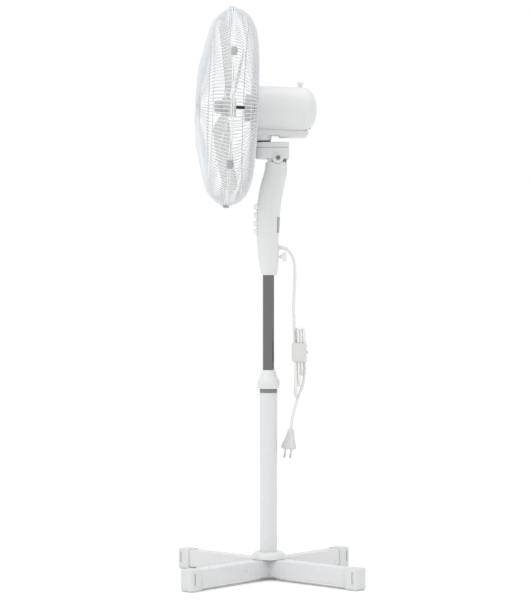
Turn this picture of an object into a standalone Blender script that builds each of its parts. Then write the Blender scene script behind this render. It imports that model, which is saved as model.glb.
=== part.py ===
"""Pedestal fan, 40 cm class: cross base, telescopic column, tilting and oscillating head.

Metres, +Z up. The origin is on the floor under the pole. The fan blows towards -Y.
Every object is one physical piece. Moving pieces hang on empties that stand on their joints.
"""

from math import cos, pi, radians, sin, tau

import bmesh
import bpy
from mathutils import Matrix, Vector

# Driving dimensions -----------------------------------------------------------------------

GAP = 0.0003  # kept between pieces that touch

BAR_HALF = 0.2375  # half length of a base bar, without its caps
BAR_WIDTH = 0.029
BAR_HEIGHT = 0.037
BAR_WALL = 0.0015
BAR_BOTTOM = 0.007
BAR_TOP = BAR_BOTTOM + BAR_HEIGHT
CAP_END = 0.2548  # from the pole's axis to the outer face of a foot cap
CAP_LENGTH = 0.034
CAP_WALL = 0.0019
CAP_CLOSED = 0.003
CAP_SLOT_WIDTH = 0.0065
CAP_SLOT_HEIGHT = 0.025
HUB_TOP = 0.060
SCREW_CIRCLE = 0.0245
BASE_SCREWS = 2

POLE_RADIUS = 0.019
POLE_WALL = 0.0012
POLE_TOP = 0.3985
POLE_BOTTOM = BAR_TOP + 0.005
TUBE_RADIUS = 0.0123
TUBE_WALL = 0.001
TUBE_BOTTOM = 0.345
COLLAR_BOTTOM = 0.4068
COLLAR_TOP = 0.447

HOUSING_WALL = 0.0024
HOUSING_SPLIT = 0.004  # Y of the seam between the two housing shells
BUTTON_Z = {"button_off": 0.7955, "button_low": 0.7780, "button_mid": 0.7605, "button_high": 0.7430}
BUTTON_TIP = -0.0325
BUTTON_SIZE = (0.030, 0.020, 0.0118)
CLAMP_Z = 0.689
CORD_EXIT_Z = 0.709
CORD_RADIUS = 0.003

BOLT_Y = 0.019  # tilt bolt, along X
BOLT_Z = 0.900
NECK_HALF_WIDTH = 0.0155
NECK_RADIUS = 0.021
BOLT_HOLE_RADIUS = 0.0044
BRACKET_HALF_WIDTH = 0.022
LOBE_RADIUS = 0.0125  # the bracket's cheeks around the bolt
BRACKET_TOP = 0.934
SWIVEL_Y = -0.010  # oscillation axis, vertical

HEAD_PITCH = radians(-2.0)  # the fan's axis points a little upwards
RIM_PLACE = (0.0, -0.085, 1.009)  # centre of the guard's rim
RIM_RADIUS = 0.2118
RIM_HALF_GAP = 0.002
WIRE = 0.0024
GUARD_RADIALS = 20
BARREL_RADIUS = 0.0485
BARREL_WALL = 0.0022
BARREL_FRONT = -0.0565  # along the fan's axis, forward of the rim positive
DOME_END = -0.189
SHAFT_RADIUS = 0.004
BLADE_RADIUS = 0.190
BLADE_COUNT = 3
CRANK_Y = 0.0685
CRANK_THROW = 0.006
WORM_WHEEL_X = 0.0145
WORM_WHEEL_Y = 0.0605
LINK_LENGTH = 0.044
KNOB_BOTTOM = 1.0578
CLIP_ANGLES = (27, 93, 177, 273, 321)  # between the radial wires, from +X towards the top

ROUND = 28  # sides of a round piece that shows
SMALL_ROUND = 16


# Scene and helpers ------------------------------------------------------------------------

for old in list(bpy.data.objects):
    bpy.data.objects.remove(old, do_unlink=True)

PARTS = bpy.data.collections.new("pedestal_fan")
CUTTERS = bpy.data.collections.new("cutters")
for group in (PARTS, CUTTERS):
    bpy.context.scene.collection.children.link(group)


def material(name, colour, roughness, metallic=0.0):
    """A Principled finish of one colour."""
    made = bpy.data.materials.new(name)
    made.use_nodes = True
    shader = made.node_tree.nodes["Principled BSDF"]
    shader.inputs["Base Color"].default_value = (*colour, 1.0)
    shader.inputs["Roughness"].default_value = roughness
    shader.inputs["Metallic"].default_value = metallic
    return made


WHITE_PLASTIC = material("white_plastic", (0.76, 0.77, 0.77), 0.38)
WHITE_METAL = material("white_coated_steel", (0.74, 0.75, 0.76), 0.30)
GUARD_WIRE = material("guard_wire_coating", (0.78, 0.79, 0.80), 0.32)
BLADE_PLASTIC = material("clear_blade_plastic", (0.72, 0.76, 0.72), 0.22)
CHROME = material("dark_chrome", (0.25, 0.25, 0.26), 0.16, 1.0)
STEEL = material("bright_steel", (0.45, 0.45, 0.46), 0.30, 1.0)
DARK_STEEL = material("dark_steel", (0.06, 0.06, 0.06), 0.40, 1.0)
GREY_PLASTIC = material("grey_plastic", (0.32, 0.33, 0.34), 0.45)
CORD_VINYL = material("cord_vinyl", (0.80, 0.80, 0.80), 0.50)
COPPER = material("copper_winding", (0.55, 0.24, 0.12), 0.40, 1.0)
BRASS = material("pin_brass", (0.55, 0.45, 0.22), 0.25, 1.0)


def empty(name, place, turn=(0.0, 0.0, 0.0), parent=None):
    """An empty that stands on a joint or carries an assembly's frame."""
    made = bpy.data.objects.new(name, None)
    made.empty_display_size = 0.02
    PARTS.objects.link(made)
    made.location = place
    made.rotation_euler = turn
    made.parent = parent
    return made


def place_object(made, place=(0.0, 0.0, 0.0), turn=(0.0, 0.0, 0.0), parent=None):
    """Gives an object its location, rotation and parent."""
    made.location = place
    made.rotation_euler = turn
    made.parent = parent
    return made


def from_bmesh(name, shape, finish, smooth=True):
    """Makes a bmesh an object in the parts collection."""
    mesh = bpy.data.meshes.new(name)
    shape.to_mesh(mesh)
    shape.free()
    if smooth:
        mesh.shade_smooth()
        mesh.set_sharp_from_angle(angle=radians(35))
    made = bpy.data.objects.new(name, mesh)
    made.data.materials.append(finish)
    PARTS.objects.link(made)
    return made


def box(name, size, centre, finish, bevel=0.0, segments=1):
    """A box with its size in the mesh, and bevelled edges where asked."""
    shape = bmesh.new()
    bmesh.ops.create_cube(shape, size=1.0, matrix=Matrix.Translation(centre) @ Matrix.Diagonal((*size, 1.0)))
    made = from_bmesh(name, shape, finish, smooth=False)
    if bevel:
        rounding = made.modifiers.new("rounding", "BEVEL")
        rounding.width = bevel
        rounding.segments = segments
        rounding.limit_method = "ANGLE"
    return made


def cylinder(name, radius, depth, centre, finish, axis="Z", sides=SMALL_ROUND, top=None):
    """A cylinder or cone along an axis, with its centre in the mesh."""
    turn = {"Z": Matrix(), "Y": Matrix.Rotation(pi / 2, 4, "X"), "X": Matrix.Rotation(pi / 2, 4, "Y")}[axis]
    shape = bmesh.new()
    bmesh.ops.create_cone(
        shape,
        cap_ends=True,
        segments=sides,
        radius1=radius,
        radius2=radius if top is None else top,
        depth=depth,
        matrix=Matrix.Translation(centre) @ turn,
    )
    return from_bmesh(name, shape, finish)


def turned(name, profile, finish, ring=False, steps=ROUND):
    """A turned solid about Z from (radius, height) points that run down its outer side."""
    shape = bmesh.new()
    points = [shape.verts.new((radius, 0.0, height)) for radius, height in profile]
    for first, second in zip(points, points[1:]):
        shape.edges.new((first, second))
    if ring:
        shape.edges.new((points[-1], points[0]))
    made = from_bmesh(name, shape, finish)
    spin = made.modifiers.new("turning", "SCREW")
    spin.steps = steps
    spin.render_steps = steps
    spin.use_merge_vertices = True
    spin.merge_threshold = 0.00005
    return made


def flat_piece(name, outline, thickness, finish):
    """A flat outline in the XY plane, extruded evenly to both sides."""
    curve = bpy.data.curves.new(name, "CURVE")
    curve.dimensions = "2D"
    curve.fill_mode = "BOTH"
    curve.extrude = thickness / 2
    spline = curve.splines.new("POLY")
    spline.points.add(len(outline) - 1)
    for point, (x, y) in zip(spline.points, outline):
        point.co = (x, y, 0.0, 1.0)
    spline.use_cyclic_u = True
    curve.materials.append(finish)
    made = bpy.data.objects.new(name, curve)
    PARTS.objects.link(made)
    return made


def tube(name, points, radius, finish, sides_level=2):
    """A round cord or wire through points, with filled caps."""
    curve = bpy.data.curves.new(name, "CURVE")
    curve.dimensions = "3D"
    curve.bevel_depth = radius
    curve.bevel_resolution = sides_level
    curve.use_fill_caps = True
    spline = curve.splines.new("POLY")
    spline.points.add(len(points) - 1)
    for point, place in zip(spline.points, points):
        point.co = (*place, 1.0)
    curve.materials.append(finish)
    made = bpy.data.objects.new(name, curve)
    PARTS.objects.link(made)
    return made


def as_mesh(made):
    """Makes a curve object a mesh object that keeps its name and place."""
    bpy.context.view_layer.update()
    evaluated = made.evaluated_get(bpy.context.evaluated_depsgraph_get())
    mesh = bpy.data.meshes.new_from_object(evaluated)
    shape = bmesh.new()
    shape.from_mesh(mesh)
    bmesh.ops.remove_doubles(shape, verts=shape.verts, dist=0.00001)
    shape.to_mesh(mesh)
    shape.free()
    name = made.name
    world = made.matrix_world.copy()
    bpy.data.objects.remove(made, do_unlink=True)
    meshed = bpy.data.objects.new(name, mesh)
    meshed.matrix_world = world
    PARTS.objects.link(meshed)
    return meshed


def boolean(made, tool, operation):
    """Cuts or joins with a tool, which moves to the cutters."""
    step = made.modifiers.new(tool.name, "BOOLEAN")
    step.operation = operation
    step.solver = "EXACT"
    step.object = tool
    tool.hide_render = True
    tool.display_type = "WIRE"
    PARTS.objects.unlink(tool)
    CUTTERS.objects.link(tool)
    return made


def cut(made, *tools):
    """Cuts tools out of an object."""
    for tool in tools:
        boolean(made, tool, "DIFFERENCE")
    return made


def join(made, *tools):
    """Joins tools to an object, into one body."""
    for tool in tools:
        boolean(made, tool, "UNION")
    return made


def arc(centre, radius, start, end, count):
    """Points of an arc in a plane, from one angle to another, in degrees."""
    angles = [radians(start + (end - start) * k / count) for k in range(count + 1)]
    return [(centre[0] + radius * cos(a), centre[1] + radius * sin(a)) for a in angles]


def smooth_route(knots, step):
    """Points about a step apart on a Catmull-Rom curve through the knots."""
    knots = [Vector(knot) for knot in knots]
    ends = [2 * knots[0] - knots[1], *knots, 2 * knots[-1] - knots[-2]]
    route = [knots[0]]
    for before, first, second, after in zip(ends, ends[1:], ends[2:], ends[3:]):
        count = max(1, round((second - first).length / step))
        for k in range(1, count + 1):
            t = k / count
            route.append(
                0.5
                * (
                    2 * first
                    + (second - before) * t
                    + (2 * before - 5 * first + 4 * second - after) * t**2
                    + (3 * first - before - 3 * second + after) * t**3
                )
            )
    return route


# Base -------------------------------------------------------------------------------------


def base_bar(name, turn, notch_low):
    """One rectangular tube of the cross, notched to half its height where the other crosses."""
    middle = BAR_BOTTOM + BAR_HEIGHT / 2
    length = 2 * BAR_HALF
    bar = box(name, (length, BAR_WIDTH, BAR_HEIGHT), (0, 0, middle), WHITE_METAL)
    inside = (length + 0.01, BAR_WIDTH - 2 * BAR_WALL, BAR_HEIGHT - 2 * BAR_WALL)
    bore = box(name + "_bore", inside, (0, 0, middle), WHITE_METAL)
    notch_size = (BAR_WIDTH + 2 * GAP, BAR_WIDTH + 0.01, BAR_HEIGHT / 2 + 0.005 + GAP)
    side = -1 if notch_low else 1
    notch_z = middle + side * (notch_size[2] / 2 - GAP)
    notch = box(name + "_notch", notch_size, (0, 0, notch_z), WHITE_METAL)
    cut(bar, bore, notch)
    for made in (bar, bore, notch):
        made.rotation_euler.z = turn
    return bar


def foot_cap(name, turn):
    """An end cap that is also the foot, with a pocket for the bar and a slot in each side."""
    width = BAR_WIDTH + 2 * CAP_WALL + 2 * GAP
    height = BAR_TOP + CAP_WALL
    inner_end = CAP_END - CAP_LENGTH
    centre_x = CAP_END - CAP_LENGTH / 2
    cap = box(name, (CAP_LENGTH, width, height), (centre_x, 0, height / 2), WHITE_PLASTIC, 0.0025)
    pocket_length = CAP_LENGTH - CAP_CLOSED + 0.01
    pocket_size = (pocket_length, BAR_WIDTH + 2 * GAP, BAR_HEIGHT + 2 * GAP)
    pocket_x = inner_end - 0.01 + pocket_length / 2
    pocket = box(name + "_pocket", pocket_size, (pocket_x, 0, BAR_BOTTOM + BAR_HEIGHT / 2), WHITE_PLASTIC)
    slot_size = (CAP_SLOT_WIDTH, width + 0.01, CAP_SLOT_HEIGHT)
    slot_x = CAP_END - 0.0105
    slot = box(name + "_slot", slot_size, (slot_x, 0, BAR_BOTTOM + 0.019), WHITE_PLASTIC)
    cut(cap, pocket, slot)
    for made in (cap, pocket, slot):
        made.rotation_euler.z = turn
    return cap


def build_base():
    """The crossed bars, their caps, the pole's flange with its screws, and the hub cover."""
    base_bar("base_bar_lower", radians(45), notch_low=False)
    base_bar("base_bar_upper", radians(-45), notch_low=True)
    for k in range(4):
        foot_cap(f"foot_cap_{k + 1}", radians(45 + 90 * k))
    flange_bottom = BAR_TOP + GAP
    spigot = POLE_RADIUS - POLE_WALL - GAP
    flange = [
        (0.0, flange_bottom + 0.034),
        (spigot, flange_bottom + 0.034),
        (spigot, POLE_BOTTOM - GAP),
        (0.030, POLE_BOTTOM - GAP),
        (0.030, flange_bottom),
        (0.0, flange_bottom),
    ]
    pole_flange = turned("pole_flange", flange, DARK_STEEL)
    for k in range(BASE_SCREWS):
        angle = radians(45) + tau * k / BASE_SCREWS
        x = SCREW_CIRCLE * cos(angle)
        y = SCREW_CIRCLE * sin(angle)
        hole = cylinder(f"flange_hole_{k + 1}", 0.0026, 0.02, (x, y, POLE_BOTTOM), DARK_STEEL, sides=12)
        cut(pole_flange, hole)
        base_screw(f"base_screw_{k + 1}", x, y)
    inner = POLE_RADIUS + GAP
    cover = [
        (0.0205, HUB_TOP),
        (0.0300, 0.0585),
        (0.0362, 0.0525),
        (0.0380, BAR_TOP + GAP),
        (0.0362, BAR_TOP + GAP),
        (0.0345, 0.0515),
        (0.0290, 0.0566),
        (inner, 0.0575),
        (inner, HUB_TOP),
    ]
    turned("hub_cover", cover, WHITE_PLASTIC, ring=True)


def base_screw(name, x, y):
    """A short screw that holds the flange down on the bars, its head on the flange."""
    profile = [
        (0.0, POLE_BOTTOM + 0.0028),
        (0.0030, POLE_BOTTOM + 0.0024),
        (0.0044, POLE_BOTTOM),
        (0.0022, POLE_BOTTOM),
        (0.0022, BAR_TOP + GAP),
        (0.0, BAR_TOP + GAP),
    ]
    return place_object(turned(name, profile, STEEL, steps=12), (x, y, 0.0))


# Pole and height adjustment ---------------------------------------------------------------


def build_pole():
    """The outer pole, its top sleeve with the collet, and the collar that clamps it."""
    bore = POLE_RADIUS - POLE_WALL
    pole = [(POLE_RADIUS, POLE_TOP), (POLE_RADIUS, POLE_BOTTOM), (bore, POLE_BOTTOM), (bore, POLE_TOP)]
    turned("pole", pole, WHITE_METAL, ring=True)
    slide = TUBE_RADIUS + GAP
    plug = bore - GAP
    sleeve = [
        (0.0150, 0.4400),
        (0.0160, 0.4200),
        (0.0160, 0.4062),
        (0.0188, 0.4062),
        (0.0188, POLE_TOP + GAP),
        (plug, POLE_TOP + GAP),
        (plug, 0.3600),
        (slide, 0.3600),
        (slide, 0.4400),
    ]
    turned("pole_top_sleeve", sleeve, GREY_PLASTIC, ring=True)


def height_collar(parent):
    """The turning collar on top of the pole, with grip ribs."""
    z = -COLLAR_BOTTOM
    grip = 0.0232
    profile = [
        (0.0140, COLLAR_TOP + z),
        (0.0168, 0.4370 + z),
        (0.0182, 0.4330 + z),
        (grip, 0.4245 + z),
        (grip, 0.4110 + z),
        (0.0200, COLLAR_BOTTOM + z),
        (0.0164, COLLAR_BOTTOM + z),
        (0.0164, 0.4205 + z),
        (0.0153, 0.4402 + z),
        (TUBE_RADIUS + GAP, 0.4405 + z),
        (TUBE_RADIUS + GAP, COLLAR_TOP + z),
    ]
    collar = turned("height_collar", profile, WHITE_PLASTIC, ring=True)
    for k in range(6):
        angle = tau * k / 6
        rib = box(f"collar_rib_{k + 1}", (0.003, 0.007, 0.0125), (0.0219, 0, 0.4177 + z), WHITE_PLASTIC, 0.0008)
        rib.rotation_euler.z = angle
        rib.parent = parent
        join(collar, rib)
    return place_object(collar, parent=parent)


# Column -----------------------------------------------------------------------------------

# height, front Y, rear Y, half width in X
COLUMN_SECTIONS = [
    (0.6500, -0.0146, 0.0180, 0.0165),
    (0.6590, -0.0170, 0.0195, 0.0195),
    (0.6800, -0.0210, 0.0215, 0.0235),
    (0.7100, -0.0240, 0.0218, 0.0270),
    (0.7450, -0.0257, 0.0220, 0.0295),
    (0.7850, -0.0252, 0.0248, 0.0300),
    (0.8150, -0.0222, 0.0290, 0.0275),
    (0.8450, -0.0165, 0.0350, 0.0240),
    (0.8680, -0.0095, 0.0395, 0.0215),
    (0.8915, -0.0058, 0.0385, 0.0205),
]
SECTION_SIDES = 20
SQUARENESS = 2.7  # superellipse power of a column section


def column_ring(section, inset):
    """The points of one column section, a superellipse inset by a wall."""
    z, front, rear, half_width = section
    middle = (front + rear) / 2
    depth = (rear - front) / 2 - inset
    ring = []
    for k in range(SECTION_SIDES):
        a = tau * k / SECTION_SIDES
        x = abs(cos(a)) ** (2 / SQUARENESS) * (half_width - inset)
        y = abs(sin(a)) ** (2 / SQUARENESS) * depth
        ring.append((x if cos(a) > 0 else -x, middle + (y if sin(a) > 0 else -y), z))
    return ring


def column_solid(name, inset, finish, low=0.0, high=0.0):
    """The column's lofted form, closed at both ends and made longer there if asked."""
    sections = list(COLUMN_SECTIONS)
    if low:
        sections.insert(0, (sections[0][0] - low, *sections[0][1:]))
    if high:
        sections.append((sections[-1][0] + high, *sections[-1][1:]))
    shape = bmesh.new()
    rings = [[shape.verts.new(point) for point in column_ring(section, inset)] for section in sections]
    shape.faces.new(list(reversed(rings[0])))
    shape.faces.new(rings[-1])
    for lower, upper in zip(rings, rings[1:]):
        for k in range(SECTION_SIDES):
            following = (k + 1) % SECTION_SIDES
            shape.faces.new((lower[k], lower[following], upper[following], upper[k]))
    bmesh.ops.recalc_face_normals(shape, faces=shape.faces)
    return from_bmesh(name, shape, finish)


def column_half(name, front):
    """One of the two housing shells, cut from the column's form at the seam."""
    shell = column_solid(name, 0.0, WHITE_PLASTIC)
    hollow = column_solid(name + "_hollow", HOUSING_WALL, WHITE_PLASTIC, low=0.01)
    roof = box(name + "_roof", (0.08, 0.09, 0.02), (0, 0.012, 0.8980), WHITE_PLASTIC)
    cut(hollow, roof)
    side = 1 if front else -1
    other_y = HOUSING_SPLIT + side * (0.06 - GAP / 2)
    other = box(name + "_other_side", (0.12, 0.12, 0.40), (0, other_y, 0.78), WHITE_PLASTIC)
    tube_hole = cylinder(name + "_tube_hole", TUBE_RADIUS + GAP, 0.08, (0, 0, 0.67), WHITE_PLASTIC, sides=ROUND)
    return cut(shell, hollow, other, tube_hole)


def build_housing(column):
    """The two shells of the control housing with everything they carry."""
    front = column_half("column_front_cover", front=True)
    for name, z in BUTTON_Z.items():
        size = (BUTTON_SIZE[0] + 0.0012, 0.03, BUTTON_SIZE[2] + 0.0012)
        cut(front, box(name + "_window", size, (0, -0.026, z), WHITE_PLASTIC, 0.002))
    bolt_place = (0, BOLT_Y, BOLT_Z)
    seat_width = 2 * NECK_HALF_WIDTH + 4 * GAP
    seat = cylinder("neck_seat", NECK_RADIUS + 2 * GAP, seat_width, bolt_place, WHITE_PLASTIC, "X", ROUND)
    rear = column_half("column_rear_cover", front=False)
    for shell in (front, rear):
        room_radius = LOBE_RADIUS + 2 * GAP
        cut(shell, cylinder(shell.name + "_lobe_room", room_radius, 0.08, bolt_place, WHITE_PLASTIC, "X", ROUND))
    cut(front, seat)
    neck_width = 2 * NECK_HALF_WIDTH
    head = cylinder("neck_head", NECK_RADIUS, neck_width, bolt_place, WHITE_PLASTIC, "X", ROUND)
    neck = box("neck_root", (neck_width, 0.0330, 0.030), (0, 0.0220, 0.8850), WHITE_PLASTIC)
    bore = cylinder("neck_bore", BOLT_HOLE_RADIUS, 0.06, bolt_place, WHITE_PLASTIC, "X")
    exit_hole = cylinder("cord_exit_hole", 0.0052, 0.03, (0, 0.022, CORD_EXIT_Z), WHITE_PLASTIC, "Y")
    clamp_hole = cylinder("clamp_hole", 0.0034, 0.03, (0, 0.022, CLAMP_Z), WHITE_PLASTIC, "Y")
    join(rear, neck, head)
    cut(rear, bore, exit_hole, clamp_hole)
    front.parent = column
    rear.parent = column
    plate = column_solid("rating_plate", -0.0011, GREY_PLASTIC)
    cut(plate, column_solid("rating_plate_seat", -GAP, GREY_PLASTIC, 0.01, 0.01))
    band = box("rating_plate_band", (0.1, 0.05, 0.033), (0, 0.0432, 0.7570), GREY_PLASTIC)
    boolean(plate, band, "INTERSECT")
    plate.parent = column


def build_switch(column):
    """The speed switch behind the buttons, and the foot that clamps the tube."""
    switch = box("speed_switch", (0.034, 0.0100, 0.066), (0, -0.0025, 0.7678), GREY_PLASTIC, 0.0010)
    switch.parent = column
    inner = TUBE_RADIUS + GAP
    top = 0.7200
    stop = 0.7100
    bottom = 0.6660
    socket = [(0.0, top), (0.0148, top), (0.0148, bottom), (inner, bottom), (inner, stop), (0.0, stop)]
    tube_socket = turned("tube_socket", socket, GREY_PLASTIC, steps=24)
    hole = cylinder("socket_clamp_hole", 0.0030, 0.03, (0, 0.016, CLAMP_Z), GREY_PLASTIC, "Y")
    cut(tube_socket, hole)
    tube_socket.parent = column


def build_tube(column):
    """The inner tube and the bush at its foot."""
    bore = TUBE_RADIUS - TUBE_WALL
    top = 0.7090
    profile = [(TUBE_RADIUS, top), (TUBE_RADIUS, TUBE_BOTTOM), (bore, TUBE_BOTTOM), (bore, top)]
    turned("inner_tube", profile, CHROME, ring=True).parent = column
    outer = POLE_RADIUS - POLE_WALL - GAP
    bush = [
        (outer, TUBE_BOTTOM - GAP),
        (outer, TUBE_BOTTOM - 0.012),
        (bore - 0.003, TUBE_BOTTOM - 0.012),
        (bore - 0.003, TUBE_BOTTOM + 0.015),
        (bore - GAP, TUBE_BOTTOM + 0.015),
        (bore - GAP, TUBE_BOTTOM - GAP),
    ]
    turned("tube_guide", bush, GREY_PLASTIC, ring=True, steps=24).parent = column


def button(name, parent):
    """One push button: a rounded cap on a stem that reaches the switch."""
    length = BUTTON_SIZE[1]
    cap = box(name, (BUTTON_SIZE[0], length, BUTTON_SIZE[2]), (0, length / 2, 0), WHITE_PLASTIC, 0.0035, 2)
    return place_object(cap, parent=parent)


def clamp_knob(parent):
    """The thumb screw that fixes the housing on the tube: a threaded shank and a wing head."""
    knob = cylinder("clamp_knob", 0.0027, 0.0190, (0, 0.0095, 0), GREY_PLASTIC, "Y", 12)
    root = cylinder("clamp_root", 0.0050, 0.0070, (0, 0.0120, 0), GREY_PLASTIC, "Y", 12)
    wing = box("clamp_wing", (0.0070, 0.0085, 0.0200), (0, 0.0180, 0), GREY_PLASTIC, 0.0025, 2)
    for tool in (root, wing):
        tool.parent = parent
    join(knob, root, wing)
    return place_object(knob, parent=parent)


# Cord -------------------------------------------------------------------------------------

UPPER_CORD = [
    (0.0, 0.0240, 0.7090),
    (0.0, 0.0325, 0.7083),
    (0.0, 0.0390, 0.7055),
    (0.0, 0.0452, 0.6998),
    (0.0, 0.0505, 0.6915),
    (0.0, 0.0543, 0.6815),
    (0.0, 0.0560, 0.6700),
    (0.0, 0.0566, 0.6550),
    (0.0, 0.0560, 0.6300),
    (0.0, 0.0548, 0.6050),
    (0.0, 0.0540, 0.5800),
    (0.0, 0.0546, 0.5620),
    (0.0, 0.0584, 0.5480),
    (0.0, 0.0590, 0.5430),
    (0.0, 0.0590, 0.5385),
]
LOWER_CORD = [
    (0.0, 0.0560, 0.3795),
    (0.0, 0.0559, 0.3710),
    (0.0, 0.0545, 0.3600),
    (0.0, 0.0520, 0.3480),
    (0.0, 0.0500, 0.3380),
    (0.0, 0.0490, 0.3280),
    (0.0, 0.0488, 0.3206),
]
HANK_TOP = 0.538
HANK_BOTTOM = 0.380
HANK_HALF_WIDTH = 0.0215
HANK_DEPTH = (0.0525, 0.0780)
TIE_Z = 0.485
TIE_HEIGHT = 0.040
PLUG_PLACE = (0.0, 0.0488, 0.3199)
PLUG_LEAN = radians(-11)
PLUG_TURN = radians(38)


def build_cord(column):
    """The free lead: grommet, hanging tube, tied hank, lower tube and plug."""
    grommet = [
        (0.0064, 0.0015),
        (0.0064, 0.0),
        (0.0048, 0.0),
        (0.0048, -0.0045),
        (0.0033, -0.0045),
        (0.0033, 0.0015),
    ]
    ring = turned("cord_grommet", grommet, GREY_PLASTIC, ring=True, steps=SMALL_ROUND)
    place_object(ring, (0, 0.0222, CORD_EXIT_Z), (-pi / 2, 0, 0), column)
    tube("cord_upper", smooth_route(UPPER_CORD, 0.009), CORD_RADIUS, CORD_VINYL).parent = column
    tube("cord_lower", smooth_route(LOWER_CORD, 0.009), CORD_RADIUS, CORD_VINYL).parent = column
    radius = HANK_HALF_WIDTH
    middle_y = sum(HANK_DEPTH) / 2
    outline = arc((0, HANK_TOP - radius), radius, 0, 180, 12)
    outline += arc((0, HANK_BOTTOM + radius), radius, 180, 360, 12)
    hank = flat_piece("cord_hank", outline, HANK_DEPTH[1] - HANK_DEPTH[0], CORD_VINYL)
    place_object(hank, (0, middle_y, 0), (pi / 2, 0, 0), column)
    half_x = HANK_HALF_WIDTH + 0.0004
    half_y = (HANK_DEPTH[1] - HANK_DEPTH[0]) / 2 + 0.0004
    tie_place = (0, middle_y, TIE_Z)
    tie = box("cord_tie", (2 * half_x + 0.0024, 2 * half_y + 0.0024, TIE_HEIGHT), tie_place, GREY_PLASTIC)
    cut(tie, box("cord_tie_inside", (2 * half_x, 2 * half_y, 2 * TIE_HEIGHT), tie_place, GREY_PLASTIC))
    tie.parent = column
    build_plug(column)


def build_plug(column):
    """A flat two-pin plug that hangs from the lead."""
    plug = empty("plug", PLUG_PLACE, (PLUG_LEAN, 0, PLUG_TURN), column)
    outline = [
        (0.0050, 0.0),
        (0.0068, -0.0080),
        (0.0095, -0.0190),
        (0.0165, -0.0330),
        (0.0176, -0.0390),
        (0.0150, -0.0430),
    ]
    outline += [(-x, z) for x, z in reversed(outline)]
    body = flat_piece("plug_body", outline, 0.0137, WHITE_PLASTIC)
    place_object(body, (0, 0, 0), (pi / 2, 0, 0), plug)
    for side, name in ((-1, "plug_pin_left"), (1, "plug_pin_right")):
        pin = cylinder(name, 0.0020, 0.0190, (side * 0.0093, 0, -0.0430 - GAP - 0.0095), BRASS, sides=12)
        place_object(pin, parent=plug)


# Tilt bracket and swivel ------------------------------------------------------------------


def build_bracket(tilt):
    """The saddle that tilts on the column's neck, its cap, bolt and nut, and the swivel post."""
    inside = NECK_HALF_WIDTH + 0.0005
    bottom = 0.8985 - BOLT_Z
    top = 0.9222 - BOLT_Z
    nose = SWIVEL_Y - BOLT_Y
    plan = arc((0, nose), 0.0176, 180, 360, 12)
    plan += [(BRACKET_HALF_WIDTH, 0.0), (BRACKET_HALF_WIDTH, 0.0215), (0.0195, 0.0240)]
    plan += [(-0.0195, 0.0240), (-BRACKET_HALF_WIDTH, 0.0215), (-BRACKET_HALF_WIDTH, 0.0)]
    bracket = as_mesh(flat_piece("tilt_bracket", plan, top - bottom, WHITE_PLASTIC))
    place_object(bracket, (0, 0, (top + bottom) / 2))
    socket = cylinder("bracket_socket", NECK_RADIUS + 0.0008, 2 * inside, (0, 0, 0), WHITE_PLASTIC, "X", 28)
    relief = box("bracket_relief", (2 * inside + 0.0006, 0.0240, 0.03), (0, -0.0058, -0.0145), WHITE_PLASTIC)
    lobes = []
    for side in (-1, 1):
        lobe_width = BRACKET_HALF_WIDTH - inside + 0.0030
        lobe_x = side * (BRACKET_HALF_WIDTH + 0.0008 - lobe_width / 2)
        lobe = cylinder(f"bracket_lobe_{side}", LOBE_RADIUS, lobe_width, (lobe_x, 0, 0), WHITE_PLASTIC, "X", 28)
        lobes.append(lobe)
    bolt_hole = cylinder("bracket_bolt_hole", BOLT_HOLE_RADIUS, 0.08, (0, 0, 0), WHITE_PLASTIC, "X")
    join(bracket, *lobes)
    cut(bracket, socket, bolt_hole, relief)
    bracket.parent = tilt
    for tool in (socket, relief, bolt_hole, *lobes):
        tool.parent = tilt
    cap_thickness = BRACKET_TOP - 0.9227
    cap = flat_piece("bracket_cap", plan, cap_thickness, WHITE_PLASTIC)
    place_object(cap, (0, 0, BRACKET_TOP - cap_thickness / 2 - BOLT_Z), parent=tilt)
    bolt = cylinder("tilt_bolt", 0.0040, 0.0520, (-0.0020, 0, 0), DARK_STEEL, "X")
    bolt_head = cylinder("tilt_bolt_head", 0.0050, 0.0034, (0.0248, 0, 0), DARK_STEEL, "X")
    bolt_head.parent = tilt
    join(bolt, bolt_head)
    bolt.parent = tilt
    nut = cylinder("tilt_nut", 0.0068, 0.0036, (-0.0249, 0, 0), STEEL, "X", 6)
    nut_bore = cylinder("tilt_nut_bore", 0.0043, 0.02, (-0.0249, 0, 0), STEEL, "X")
    nut_bore.parent = tilt
    cut(nut, nut_bore).parent = tilt
    post = [
        (0.0, 0.9522),
        (0.0110, 0.9522),
        (0.0110, 0.9506),
        (0.0070, 0.9506),
        (0.0070, 0.9370),
        (0.0150, 0.9370),
        (0.0150, BRACKET_TOP + GAP),
        (0.0, BRACKET_TOP + GAP),
    ]
    swivel = turned("swivel_post", [(r, z - BOLT_Z) for r, z in post], DARK_STEEL, steps=24)
    place_object(swivel, (0, nose, 0), parent=tilt)


# Head -------------------------------------------------------------------------------------

# radius and distance forward of the rim for each ring of the wire baskets
FRONT_BASKET = [
    (RIM_RADIUS, RIM_HALF_GAP),
    (0.2000, 0.0235),
    (0.1810, 0.0410),
    (0.1260, 0.0570),
    (0.0710, 0.0690),
    (0.0385, 0.0690),
]
REAR_BASKET = [
    (RIM_RADIUS, -RIM_HALF_GAP),
    (0.2060, -0.0220),
    (0.1900, -0.0405),
    (0.1500, -0.0550),
    (0.0840, -0.0565),
    (0.0480, -0.0518),
    (0.0170, -0.0516),
]
FORWARD = (pi / 2, 0.0, 0.0)  # turns a piece's own Z onto the fan's axis, pointing forward


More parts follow.
